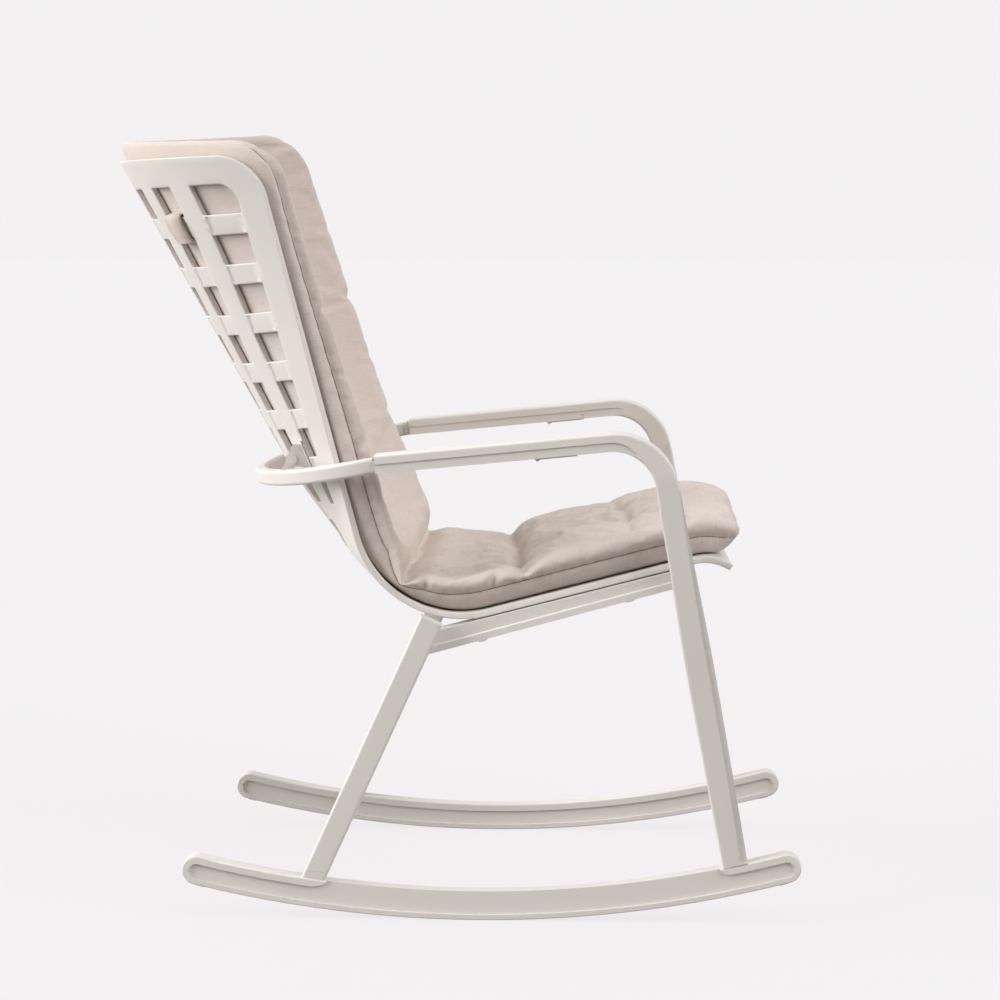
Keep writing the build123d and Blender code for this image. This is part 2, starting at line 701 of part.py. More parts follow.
def arm_box(side, start, end, low, high, near, far):
    """A straight block along the armrest: spans along it, across it and in from the outer face."""
    y, z = arm_point(0)
    slope = radians(ARM_SLOPE)
    plane = Plane(
        origin=(side * ARM_OUT, y, z), x_dir=(0, -cos(slope), sin(slope)), z_dir=(0, sin(slope), cos(slope))
    )
    inwards = plane.y_dir.dot(Vector(-side, 0, 0))
    block = Box(end - start, far - near, high - low)
    return plane * Pos((start + end) / 2, inwards * (near + far) / 2, (low + high) / 2) * block


def arm_band(side, near, far):
    """The lower band of one side of the armrest, which runs out where the armrest bends."""
    low = -ARM_TALL / 2 - 8
    high = ARM_TALL / 2 - ARM_BAND
    run = arm_run()
    turn = acos(1 - (high - low) / ARM_BAND_END)
    half_way = arm_spot(run + ARM_BAND_END * sin(turn / 2), high - ARM_BAND_END * (1 - cos(turn / 2)))
    end = arm_spot(run + ARM_BAND_END * sin(turn), low)
    curve = ThreePointArc(arm_spot(run, high), half_way, end)
    rest = Polyline(end, arm_spot(-5, low), arm_spot(-5, high), arm_spot(run, high))
    outline = make_face(curve.edges() + rest.edges())
    from_x, to_x = sorted((side * (ARM_OUT - near), side * (ARM_OUT - far)))
    return upright(outline, from_x, to_x)


def lever_span():
    slope = cos(radians(ARM_SLOPE))
    return (ARM_BACK_Y - LEVER_BACK_Y) / slope, (ARM_BACK_Y - LEVER_FRONT_Y) / slope


def front_leg_armrest(side):
    body = arm_moulding(side) - below_rocker_top(JOINT_GAP)
    half = ARM_TALL / 2
    lever_back, lever_front = lever_span()
    # The armrest is a channel open below, with a roof and two side walls
    near, far = channel_sides()
    body = body - arm_box(side, -5, lever_front + 8, -half - 5, half - ARM_ROOF, near, far)
    # The lower band of each wall is set back
    body = body - arm_band(side, -5, ARM_BAND_DEEP)
    body = body - arm_band(side, ARM_WIDE - ARM_BAND_DEEP, ARM_WIDE + 5)
    body = body - leg_groove(side)
    body = body - lever_pin_bar(side, PIN_GAP)
    foot_y, way = foot_screws()[1]
    body = body - screw_hole(side, foot_y, way, PIN_GAP)
    return body - rail_screw_hole(side, front_rail_screw())


def leg_groove(side):
    """A recessed strip along the front edge of the leg's outer face."""
    top = (LEG_HIP_Y, LEG_HIP_Z + 20)
    foot_share = (LEG_FOOT_Z + 10 - LEG_HIP_Z) / (LEG_FOOT_Z - LEG_HIP_Z)
    foot = (LEG_HIP_Y + (LEG_FOOT_Y - LEG_HIP_Y) * foot_share, LEG_FOOT_Z + 10)
    wires = []
    travel = Vector(0, LEG_FOOT_Y - LEG_HIP_Y, LEG_FOOT_Z - LEG_HIP_Z).normalized()
    ahead = Vector(0, travel.Z, -travel.Y)
    for share in (0.0, 0.25, 0.6, 1.0):
        y = top[0] + (foot[0] - top[0]) * share
        z = top[1] + (foot[1] - top[1]) * share
        wide = blend(share, 0.0, 0.25, LEG_HIP_WIDE, LEG_MID_WIDE)
        wide = wide if share < 0.5 else blend(share, 0.5, 1.0, LEG_MID_WIDE, LEG_FOOT_WIDE)
        width = blend(share, 0.0, 0.25, 2.5, LEG_GROOVE)
        front = wide / 2 - LEG_GROOVE_EDGE
        corners = []
        for reach, depth in ((front, 2), (front, -1), (front - width, -1), (front - width, 2)):
            x = side * (leg_lean(z) + (2 if depth > 0 else -LEG_GROOVE_DEEP))
            corners.append((x, y + ahead.Y * reach, z + ahead.Z * reach))
        wires.append(Wire(Polyline(*corners, close=True)))
    return lofted(wires)


def side_rail(side):
    wires = []
    for y in (RAIL_BACK_Y, RAIL_FRONT_Y):
        low = rail_low(y)
        top = rail_top(y)
        outer = leg_inner(low) - JOINT_GAP
        outline = (
            (RAIL_IN, low),
            (outer, low),
            (outer, low + RAIL_FLANGE),
            (outer - RAIL_WEB_DEEP, low + RAIL_FLANGE + 1.5),
            (outer - RAIL_WEB_DEEP, top),
            (RAIL_IN, top),
        )
        wires.append(Wire(Polyline(*[(side * x, y, z) for x, z in outline], close=True)))
    rail = Solid.make_loft(wires, ruled=True)
    for y in SEAT_BOLT_Y:
        rail = rail - seat_bolt_hole(side, y)
    rail = rail - rail_screw_hole(side, front_rail_screw())
    rail = rail - rail_screw_hole(side, rear_rail_screw())
    for y in (CROSS_FRONT_Y, CROSS_REAR_Y):
        rail = rail - cross_bar_block(y, JOINT_GAP)
    return rail


def front_rail_screw():
    return (-331.0, rail_low(-331.0) + 15.0)


def rear_rail_screw():
    return (22.0, rail_low(22.0) + 15.0)


def rail_screw_hole(side, place):
    y, z = place
    start = RAIL_IN - 2
    end = leg_inner(z) + 14
    return Pos(side * (start + end) / 2, y, z) * Rot(0, 90, 0) * Cylinder(SCREW_RADIUS + PIN_GAP, end - start)


def rail_screw(side, place):
    y, z = place
    start = RAIL_IN - PIN_GAP
    end = leg_inner(z) + 12
    shank = Pos((start + end) / 2, y, z) * Rot(0, 90, 0) * Cylinder(SCREW_RADIUS, end - start)
    head = Pos(start - SCREW_HEAD / 2, y, z) * Rot(0, 90, 0) * Cylinder(SCREW_HEAD_RADIUS, SCREW_HEAD)
    screw = shank + head
    return screw if side > 0 else mirror(screw, about=Plane.YZ)


def cross_bar_block(y, spare):
    long = 2 * (RAIL_IN + CROSS_TENON + spare)
    block = Box(long, CROSS_WIDE + 2 * spare, CROSS_TALL + 2 * spare)
    return rail_plane(0, y) * Pos(0, 0, CROSS_RISE + CROSS_TALL / 2) * block


def cross_bar(y):
    bar = cross_bar_block(y, 0.0)
    return fillet(bar.edges().filter_by(Axis.X), 3.0)


def hoop_point(x, along):
    """A point of the hoop's own tilted plane."""
    y, z = polar(ARM_BACK_Y, ARM_BACK_Z - 2.0, HOOP_TILT, along)
    return Vector(x, y, z)


def hoop_line_x():
    return ARM_OUT - ARM_WIDE / 2


def hoop_path():
    half = hoop_line_x()
    middle = HOOP_BACK - HOOP_REAR_RADIUS
    corner_x = half - HOOP_CORNER
    corner_s = middle + sqrt((HOOP_REAR_RADIUS - HOOP_CORNER) ** 2 - corner_x**2)
    turn = atan2(corner_x, corner_s - middle)
    meet = (HOOP_REAR_RADIUS * sin(turn), middle + HOOP_REAR_RADIUS * cos(turn))
    half_turn = (radians(90) + turn) / 2
    bulge = (corner_x + HOOP_CORNER * sin(half_turn), corner_s + HOOP_CORNER * cos(half_turn))
    arcs = (
        ((half, corner_s), bulge, meet),
        (meet, (0, HOOP_BACK), (-meet[0], meet[1])),
        ((-meet[0], meet[1]), (-bulge[0], bulge[1]), (-half, corner_s)),
    )
    return Wire([ThreePointArc(*[hoop_point(x, along) for x, along in arc]) for arc in arcs])


def rear_hoop():
    path = hoop_path()
    start = path.position_at(0)
    plane = Plane(origin=start, x_dir=(1, 0, 0), z_dir=path.tangent_at(0))
    section = plane * RectangleRounded(HOOP_THICK, HOOP_TALL, 5.0)
    hoop = sweep(section, path=path)
    for side in (-1, 1):
        hoop = hoop + tongue(side)
        hoop = hoop + hoop_lug(side)
    return hoop


def tongue(side):
    """The flat end of the hoop that slides inside the armrest's channel."""
    roof = ARM_TALL / 2 - ARM_ROOF
    high = roof - SLIDE_GAP
    near = (ARM_WIDE - TONGUE_WIDE) / 2
    return arm_box(side, -8, TONGUE_LONG, high - TONGUE_TALL, high, near, near + TONGUE_WIDE)


def hoop_lug(side):
    """An eye that reaches forward from the hoop to the pivot pin behind the back."""
    middle = HOOP_BACK - HOOP_REAR_RADIUS
    along = middle + sqrt(HOOP_REAR_RADIUS**2 - PIVOT_X**2)
    root = hoop_point(PIVOT_X, along)
    y0, z0, y1, z1 = PIVOT_Y, PIVOT_Z, root.Y, root.Z
    length = hypot(y1 - y0, z1 - z0)
    across = ((z1 - z0) / length * LUG_RADIUS, -(y1 - y0) / length * LUG_RADIUS)
    arm = make_face(
        Polyline(
            (y0 + across[0], z0 + across[1]),
            (y1 + across[0], z1 + across[1]),
            (y1 - across[0], z1 - across[1]),
            (y0 - across[0], z0 - across[1]),
            close=True,
        )
    )
    eye = Pos(y0, z0) * Circle(LUG_RADIUS)
    hole = Pos(y0, z0) * Circle(PIVOT_RADIUS + PIN_GAP)
    x = side * PIVOT_X
    return upright((arm + eye) - hole, x - LUG_WIDE / 2, x + LUG_WIDE / 2)


def rim_height_behind(x, z_wanted):
    """The rim height whose cross-section passes the wanted height at a place across the back."""
    low, high = BEND_BACK_Z, BACK_TOP_Z
    for step in range(50):
        middle = (low + high) / 2
        station = back_station(middle)
        turn = asin(x / (station.radius + SHELL_THICK))
        if station.at(turn * station.radius, SHELL_THICK).Z < z_wanted:
            low = middle
        else:
            high = middle
    return middle


def strip_behind(z, half, low, high):
    """A strip of the cross-section behind the back, about the middle of a bracket."""
    station = back_station(rim_height_behind(PIVOT_X, z))
    middle = asin(PIVOT_X / (station.radius + SHELL_THICK)) * station.radius
    return station.strip(middle - half, middle + half, low, high)


def hoop_bracket(side):
    """Two cheeks for the pin on a plate that is fixed to the outer strip behind the back."""
    inner = LUG_WIDE / 2 + 2 * JOINT_GAP
    half = inner + CHEEK_WIDE + 2
    low_z = PIVOT_Z - 14
    high_z = PIVOT_Z + 26
    plate_heights = (low_z, PIVOT_Z, high_z)
    proud = SHELL_THICK + BRACKET_PLATE
    bracket = lofted([strip_behind(z, half, SHELL_THICK - 2, proud) for z in plate_heights])
    root_y = PIVOT_Y - 34
    outline = make_face(
        Polyline(
            (root_y, low_z),
            (PIVOT_Y, PIVOT_Z - CHEEK_RADIUS),
            (PIVOT_Y + CHEEK_RADIUS * 0.7, PIVOT_Z + CHEEK_RADIUS * 0.7),
            (PIVOT_Y - 2, high_z - 4),
            (root_y, high_z - 4),
            close=True,
        )
    )
    outline = outline + Pos(PIVOT_Y, PIVOT_Z) * Circle(CHEEK_RADIUS)
    outline = outline - Pos(PIVOT_Y, PIVOT_Z) * Circle(PIVOT_RADIUS + PIN_GAP)
    for sign in (-1, 1):
        near = PIVOT_X + sign * inner
        far = PIVOT_X + sign * (inner + CHEEK_WIDE)
        bracket = bracket + upright(outline, min(near, far), max(near, far))
    inside_heights = (low_z - 40, low_z, PIVOT_Z, high_z, high_z + 40)
    inside = lofted([strip_behind(z, half + 40, -60, SHELL_THICK + JOINT_GAP) for z in inside_heights])
    bracket = bracket - inside
    return bracket if side > 0 else mirror(bracket, about=Plane.YZ)


def pivot_pin(side):
    inner = LUG_WIDE / 2 + JOINT_GAP * 2 + CHEEK_WIDE
    shank = Rot(0, 90, 0) * Cylinder(PIVOT_RADIUS, 2 * inner + 2 * PIN_GAP)
    head = Pos(inner + PIN_GAP + PIN_HEAD / 2, 0, 0) * Rot(0, 90, 0) * Cylinder(PIN_HEAD_RADIUS, PIN_HEAD)
    clip = Pos(-inner - PIN_GAP - 1, 0, 0) * Rot(0, 90, 0) * Cylinder(PIVOT_RADIUS + 1.5, 2)
    pin = Pos(PIVOT_X, PIVOT_Y, PIVOT_Z) * (shank + head + clip)
    return pin if side > 0 else mirror(pin, about=Plane.YZ)


def lever_pin():
    lever_back, lever_front = lever_span()
    return arm_spot(lever_front - LEVER_PIN_RADIUS - 3, -ARM_TALL / 2 + LEVER_THICK / 2 + 3)


def lever_pin_bar(side, spare):
    y, z = lever_pin()
    start = ARM_OUT - ARM_BAND_DEEP - 1
    end = ARM_OUT - ARM_WIDE + ARM_BAND_DEEP + 1
    long = start - end + (2 if spare else 0)
    middle = (start + end) / 2 - (1 if spare else 0)
    return Pos(side * middle, y, z) * Rot(0, 90, 0) * Cylinder(LEVER_PIN_RADIUS + spare, long)


def release_lever(side):
    lever_back, lever_front = lever_span()
    near, far = channel_sides()
    near = near + LEVER_SIDE_GAP
    far = far - LEVER_SIDE_GAP
    low = -ARM_TALL / 2 + 3
    plate = arm_box(side, lever_back, lever_front, low, low + LEVER_THICK, near, far)
    boss_y, boss_z = lever_pin()
    middle = ARM_OUT - (near + far) / 2
    boss = Pos(side * middle, boss_y, boss_z) * Rot(0, 90, 0) * Cylinder(LEVER_PIN_RADIUS + 2, far - near)
    rib_low = -ARM_TALL / 2 - LEVER_RIB
    rib = arm_box(side, lever_back + 2, lever_front - 4, rib_low, low + 0.5, near + 2, far - 2)
    points = (
        arm_spot(lever_back, low + 0.5),
        arm_spot(lever_back + 5, low - LEVER_TAB_DROP),
        arm_spot(lever_back + LEVER_TAB_LONG, low + 0.5),
    )
    outline = make_face(Polyline(*points, close=True))
    x0 = side * (ARM_OUT - near - 2)
    x1 = side * (ARM_OUT - far + 2)
    tab = upright(outline, min(x0, x1), max(x0, x1))
    hole = Pos(side * middle, boss_y, boss_z) * Rot(0, 90, 0) * Cylinder(LEVER_PIN_RADIUS + PIN_GAP, 80)
    return plate + boss + rib + tab - hole


def pad_section(station, thick, edge, over, gap):
    """A closed cross-section of the pad: a back that follows the shell, round sides and a crowned face."""
    half = station.half + over
    front = half - edge * 0.25
    bulge = half + edge * 0.16
    back_arc = ThreePointArc(station.at(-half, -gap), station.at(0, -gap), station.at(half, -gap))
    right = ThreePointArc(
        station.at(half, -gap), station.at(bulge, -gap - edge * 0.5), station.at(front, -gap - edge)
    )
    face = ThreePointArc(
        station.at(front, -gap - edge), station.at(0, -gap - thick), station.at(-front, -gap - edge)
    )
    left = ThreePointArc(
        station.at(-front, -gap - edge), station.at(-bulge, -gap - edge * 0.5), station.at(-half, -gap)
    )
    return Wire([back_arc, right, face, left])


def channel_depth(place, channels):
    """How much the face is drawn in at a place: most at a channel, nothing between two."""
    nearest = min(abs(place - channel) for channel in channels)
    return PAD_CHANNEL * max(0.0, 1.0 - nearest / 30.0)


def back_pad():
    wires = []
    split = degrees(PAD_SPLIT / BEND_RADIUS)
    for turn in (FLEX_ANGLE + split, 60, 68, 76, 84):
        wires.append(pad_section(bend_station(turn), 62, 56, -PAD_SIDE_IN, BACK_PAD_GAP))
    heights = [BEND_BACK_Z, 580]
    for channel in PAD_CHANNELS_Z:
        heights = heights + [channel - 30, channel, channel + 30]
    heights = heights + [1060, 1100, 1120]
    for z in heights:
        over = blend(z, 600, 1000, -PAD_SIDE_IN, PAD_BACK_OVER)
        drawn = channel_depth(z, PAD_CHANNELS_Z)
        extra = blend(z, 560, 760, 8.0, 0.0)
        thick = BACK_PAD_THICK + extra - drawn
        edge = BACK_PAD_EDGE + extra - drawn * 0.5
        wires.append(pad_section(back_station(z), thick, edge, over, BACK_PAD_GAP))
    wires.append(pad_section(back_station(PAD_TOP_Z - 7), 44, 36, PAD_BACK_OVER - 4, BACK_PAD_GAP + 4))
    wires.append(pad_section(back_station(PAD_TOP_Z), 26, 20, PAD_BACK_OVER - 14, BACK_PAD_GAP + 14))
    return lofted(wires)


def seat_pad():
    wires = []
    split = degrees(PAD_SPLIT / BEND_RADIUS)
    wires.append(pad_section(lip_station(42), 38, 28, -PAD_SIDE_IN - 12, SEAT_PAD_GAP + 9))
    wires.append(pad_section(lip_station(34), 60, 50, -PAD_SIDE_IN, SEAT_PAD_GAP + 1))
    wires.append(pad_section(lip_station(22), 70, 61, -PAD_SIDE_IN, SEAT_PAD_GAP))
    wires.append(pad_section(lip_station(10), 74, 66, -PAD_SIDE_IN, SEAT_PAD_GAP))
    places = [LIP_START_Y, -335, -300]
    for channel in reversed(PAD_CHANNELS_Y):
        places = places + [channel - 30, channel, channel + 30]
    for y in places:
        drawn = channel_depth(y, PAD_CHANNELS_Y)
        thick = SEAT_PAD_THICK - drawn
        edge = SEAT_PAD_EDGE - drawn * 0.5
        wires.append(pad_section(seat_station(y), thick, edge, -PAD_SIDE_IN, SEAT_PAD_GAP))
    for turn in (9, 20, 31, 42, FLEX_ANGLE - split):
        thick = blend(turn, 0, FLEX_ANGLE, SEAT_PAD_THICK, 58)
        edge = blend(turn, 0, FLEX_ANGLE, SEAT_PAD_EDGE, 52)
        wires.append(pad_section(bend_station(turn), thick, edge, -PAD_SIDE_IN, SEAT_PAD_GAP))
    return lofted(wires)


def strap(side):
    """A flat loop of webbing round the uppermost bar, beside the outermost strip."""
    bar_high = WINDOW_TOP_Z - WINDOW_TALL
    bar_low = WINDOW_TOP_Z - WINDOW_PITCH
    upper = back_station(bar_high)
    lower = back_station(bar_low)
    left, right = columns(upper, bar_high)[-2]
    middle = side * (left + right) / 2
    lift = (SHELL_THICK - BAR_SUNK) / 2
    centre = (upper.at(middle, lift) + lower.at(middle, lift)) / 2
    across = Vector(0, 0, 0)
    for station in (upper, lower):
        across = across + station.at(middle + 5, lift) - station.at(middle - 5, lift)
    across = across.normalized()
    up = upper.at(middle, lift) - lower.at(middle, lift)
    up = up - across * up.dot(across)
    plane = Plane(origin=centre, x_dir=up, z_dir=across)
    spare = 2 * (STRAP_GAP + STRAP_THICK)
    tall = up.length + spare
    deep = SHELL_THICK - BAR_SUNK + spare
    outer = RectangleRounded(tall, deep, STRAP_CORNER)
    inner = RectangleRounded(tall - 2 * STRAP_THICK, deep - 2 * STRAP_THICK, STRAP_CORNER - STRAP_THICK)
    return extrude(plane * (outer - inner), STRAP_WIDE / 2, both=True)


def write(name, shape):
    export_step(shape, "parts/" + name + ".step")


SIDES = ((1, "left"), (-1, "right"))

for side, word in SIDES:
    write(word + "_rocker", rocker(side))
    write(word + "_front_leg_armrest", front_leg_armrest(side))
    write(word + "_rear_leg", rear_leg(side))
    write(word + "_side_rail", side_rail(side))
    write(word + "_hoop_bracket", hoop_bracket(side))
    write(word + "_hoop_pin", pivot_pin(side))
    write(word + "_release_lever", release_lever(side))
    write(word + "_lever_pin", lever_pin_bar(side, 0.0))
    write(word + "_pad_strap", strap(side))
write("rocker_bumpers", Compound([bumper(side, y) for side, word in SIDES for y in bumper_places()]))
write("front_cross_bar", cross_bar(CROSS_FRONT_Y))
write("rear_cross_bar", cross_bar(CROSS_REAR_Y))
write("seat_shell", seat_shell())
write("back_shell", back_shell())
write("rear_hoop", rear_hoop())
write("seat_bolts", Compound([seat_bolt(side, y) for side, word in SIDES for y in SEAT_BOLT_Y]))
foot_places = foot_screws()
write("foot_screws", Compound([foot_screw(side, y, way) for side, word in SIDES for y, way in foot_places]))
rail_places = (front_rail_screw(), rear_rail_screw())
write("rail_screws", Compound([rail_screw(side, at) for side, word in SIDES for at in rail_places]))
write("seat_pad", seat_pad())
write("back_pad", back_pad())
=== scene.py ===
import bpy
import math
import numpy as np
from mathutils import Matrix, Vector
from mathutils.geometry import delaunay_2d_cdt


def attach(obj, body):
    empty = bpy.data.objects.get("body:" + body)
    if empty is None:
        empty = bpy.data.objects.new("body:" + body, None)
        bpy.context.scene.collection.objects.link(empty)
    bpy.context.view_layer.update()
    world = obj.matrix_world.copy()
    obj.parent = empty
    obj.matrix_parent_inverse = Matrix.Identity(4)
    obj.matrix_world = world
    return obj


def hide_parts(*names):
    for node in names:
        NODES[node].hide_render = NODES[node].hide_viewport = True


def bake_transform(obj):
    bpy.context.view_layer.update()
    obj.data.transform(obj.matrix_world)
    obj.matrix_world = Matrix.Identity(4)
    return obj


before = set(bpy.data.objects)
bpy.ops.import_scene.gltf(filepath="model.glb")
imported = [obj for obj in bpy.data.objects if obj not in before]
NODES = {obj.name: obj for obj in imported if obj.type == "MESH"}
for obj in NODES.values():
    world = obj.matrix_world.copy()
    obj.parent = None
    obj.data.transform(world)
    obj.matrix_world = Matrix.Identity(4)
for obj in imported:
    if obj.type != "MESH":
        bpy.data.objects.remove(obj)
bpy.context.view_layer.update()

# The camera that took the photograph, in metres and degrees
CAMERA_AT = (-4.0257, -0.2476, 1.0445)
CAMERA_YAW = 2.617
CAMERA_PITCH = -6.546
CAMERA_LENS = 94.88

# Stage: the dome is brightest toward one direction; each sun has a strength, an aim and a spread in degrees
BACKDROP = (0.896, 0.881, 0.888)
DOME_BRIGHT = (0.7, 0.1, 0.7)
DOME_RANGE = (0.02, 0.82)
SUNS = (
    ("left_light", 3.6, (0.18, -0.88, -0.36), 50),
    ("front_light", 1.9, (0.45, 0.68, -0.58), 50),
)
FLOOR_SIZE = 80
FLOOR_SHADE = 0.11
FLOOR_ALBEDO = 0.81
FLOOR_BOUNCE = (0.27, 0.255, 0.245)

# Colours of the resin, and of its lighter tone, which is a random change of tone and also a painted highlight
# on its edges
RESIN = (0.715, 0.672, 0.628)
RESIN_TONE_AND_HIGHLIGHT = (0.765, 0.728, 0.688)

# Shell: the same driving sizes as the solid it dresses, in metres and degrees
HALF = 0.280
THICK = 0.0095
SEAT_SLOPE = math.radians(14.6)
SEAT_MARK = (-0.048, 0.453)
SEAT_DISH = 0.008
LIP_START_Y = -0.352
LIP_RADIUS = 0.072
LIP_TURN = math.radians(50)
BEND_RADIUS = 0.150
BACK_LEAN = math.radians(14.82)
BACK_MARK = (0.155, 0.674)
BACK_TOP_Z = 1.106
TOP_TILT = math.radians(2)
SPINE_MARK = (0.2916, 0.720)
SPINE_RISE = 0.56
SPINE_EASE = 0.09
SPINE_EASE_RISE = 0.36
FLEX_TURN = math.radians(52)
FLEX_SAG = 0.014
BEND_END_SAG = 0.052
RIM = 0.043
RIM_CORNER = 0.060
STRIP = 0.044
STRIPS_AT = (-1.0, -0.6, -0.2, 0.2, 0.6, 1.0)
STRIP_EDGE_LOW = (0.846, 0.236)
STRIP_EDGE_HIGH = (1.050, 0.263)
WINDOW_TOP_Z = 1.067
WINDOW_TALL = 0.041
WINDOW_PITCH = 0.0693
WINDOW_ROWS = 8
WINDOW_CORNER = 0.0014
TOP_WINDOW_CORNER = 0.020
BAR_SUNK = 0.0015
SUNK_EDGE = 0.0018
SUNK_STEP = 0.0009
EDGE_ROUND = 0.0018
LIP_CORNER = 0.012
LOOP_STEP = 0.008
NARROWEST_WINDOW = 0.008
SEAT_ROWS_Y = (-0.320, -0.258, -0.196, -0.134, -0.072)
SEAT_ROW_LONG = 0.038

# Pad: its ends and its crease as distances along the rim, its tufts as distances across
PAD_FRONT = 0.009
PAD_TOP = 1.196
PAD_GAP = 0.0012
FRONT_ROLL = 0.034
TOP_ROLL = 0.036
FRONT_BLUNT = 0.7
FRONT_CENTRE = 0.68
TOP_CENTRE = 0.72
FRONT_CORNER = 0.085
TOP_CORNER = 0.064
CREASE_AT = 0.506
TUFTS_ACROSS = (-0.17, 0.0, 0.17)
PAD_ACROSS = 74
PAD_STEP = 0.0058
PAD_SHIFT = -0.011
PAD_SLUMP = 0.028
SWELL_CAP = 0.007
SWELL_FRAMES = 20
# The dark seam cords paint the shade in the seam grooves; this is their radius
SEAM_SHADE_CORD = 0.00085

# Pad: thickness along its edges and height of its side seam, by distance along the rim or height of the back
EDGE_ON_SEAT = (
    (0.0, 0.056), (0.05, 0.054), (0.10, 0.054), (0.26, 0.057), (0.36, 0.055), (0.44, 0.051), (0.56, 0.054),
)
EDGE_ON_BACK = (
    (0.612, 0.054), (0.692, 0.050), (0.785, 0.044), (0.870, 0.039),
    (0.950, 0.036), (1.013, 0.032), (1.072, 0.027), (1.130, 0.024),
)
SEAM_ON_SEAT = ((0.02, 0.026), (0.10, 0.027), (0.40, 0.026), (0.47, 0.020), (CREASE_AT, 0.008), (0.56, 0.028))
SEAM_ON_BACK = ((0.692, 0.021), (0.950, 0.014), (1.072, 0.010), (1.130, 0.008))

# Pad: rows sewn from side to side, with the depth at the edges, the depth inside and the depth of the tufts
SEAT_SEWN = ((-0.255, 0.003, 0.012, 0.024), (-0.086, 0.033, 0.034, 0.012))
CREASE_DEPTHS = (0.040, 0.040, 0.0)
BACK_SEWN = (
    (0.680, 0.002, 0.004, 0.012), (0.770, 0.0, 0.001, 0.012),
    (0.873, 0.006, 0.008, 0.012), (0.984, 0.0, 0.001, 0.012),
)
COLUMN_DEPTHS = (0.024, 0.016)
STAR_HEIGHTS = (0.0034, 0.0019)
STAR_REACH = 0.034
STAR_WIDTH = 0.022
GATHER_DEPTH = 0.0016

# Pad: folds down its sides, by place on the seat or height of the back, with lean, depth and width
SEAT_FOLDS = (
    (-0.116, 0.010, 0.008, 0.0065), (-0.078, -0.014, 0.010, 0.0060),
    (0.045, 0.008, 0.010, 0.0065), (-0.215, 0.008, 0.004, 0.009),
)
BACK_FOLDS = (
    (0.690, 0.016, 0.006, 0.009), (0.785, 0.014, 0.002, 0.010), (0.881, 0.018, 0.007, 0.009),
    (0.600, 0.010, 0.003, 0.012), (0.988, 0.012, 0.0015, 0.009),
)

# Pad: its side in section, below the seam and above it: distance past the half width, share of the height
SIDE_BELOW = np.array([
    (-0.036, 0.0), (-0.024, 0.03), (-0.015, 0.16), (-0.008, 0.42), (-0.003, 0.70), (-0.001, 0.90),
])
SIDE_ABOVE = np.array([
    (-0.0025, 0.0), (0.0022, 0.09), (0.0064, 0.22), (0.0090, 0.39), (0.0090, 0.56),
    (0.0058, 0.72), (-0.0005, 0.85), (-0.0100, 0.94), (-0.0220, 0.985), (-0.0380, 1.0),
])
SEAM_POINT = len(SIDE_BELOW)
FACE_INSET = 0.050
UNDERSIDE_INSET = 0.042

# Straps
STRAP_HALF_WIDTH = 0.021
STRAP_HALF_THICK = 0.0007


def smooth(value, low, high):
    share = np.clip((value - low) / (high - low), 0.0, 1.0)
    return share * share * (3 - 2 * share)


def ramp(value, low, high, at_low, at_high):
    return at_low + (at_high - at_low) * np.clip((value - low) / (high - low), 0.0, 1.0)


# The rim runs from the front lip along the seat, round the bend and up the back
SEAT_DOWN = math.pi / 2 + SEAT_SLOPE
BEND_TURN = SEAT_DOWN - BACK_LEAN


def seat_z(y):
    return SEAT_MARK[1] - (y - SEAT_MARK[0]) * math.tan(SEAT_SLOPE)


def back_y(z):
    return BACK_MARK[0] + (z - BACK_MARK[1]) * math.tan(BACK_LEAN)


CORNER_Z = (SEAT_MARK[1] - (back_y(0) - SEAT_MARK[0]) * math.tan(SEAT_SLOPE)) / (
    1 + math.tan(BACK_LEAN) * math.tan(SEAT_SLOPE)
)
BEND_REACH = BEND_RADIUS * math.tan(BEND_TURN / 2)
BEND_SEAT_Y = back_y(CORNER_Z) - BEND_REACH * math.cos(SEAT_SLOPE)
BEND_BACK_Z = CORNER_Z + BEND_REACH * math.cos(BACK_LEAN)
LIP_LONG = LIP_RADIUS * LIP_TURN
SEAT_END = LIP_LONG + (BEND_SEAT_Y - LIP_START_Y) / math.cos(SEAT_SLOPE)
BEND_END = SEAT_END + BEND_RADIUS * BEND_TURN
RIM_END = BEND_END + (BACK_TOP_Z - BEND_BACK_Z) / math.cos(BACK_LEAN)
FLEX_AT = SEAT_END + BEND_RADIUS * FLEX_TURN


def along_back(z):
    """The distance along the rim at a height of the back."""
    return BEND_END + (z - BEND_BACK_Z) / math.cos(BACK_LEAN)


def along_seat(y):
    return LIP_LONG + (y - LIP_START_Y) / math.cos(SEAT_SLOPE)


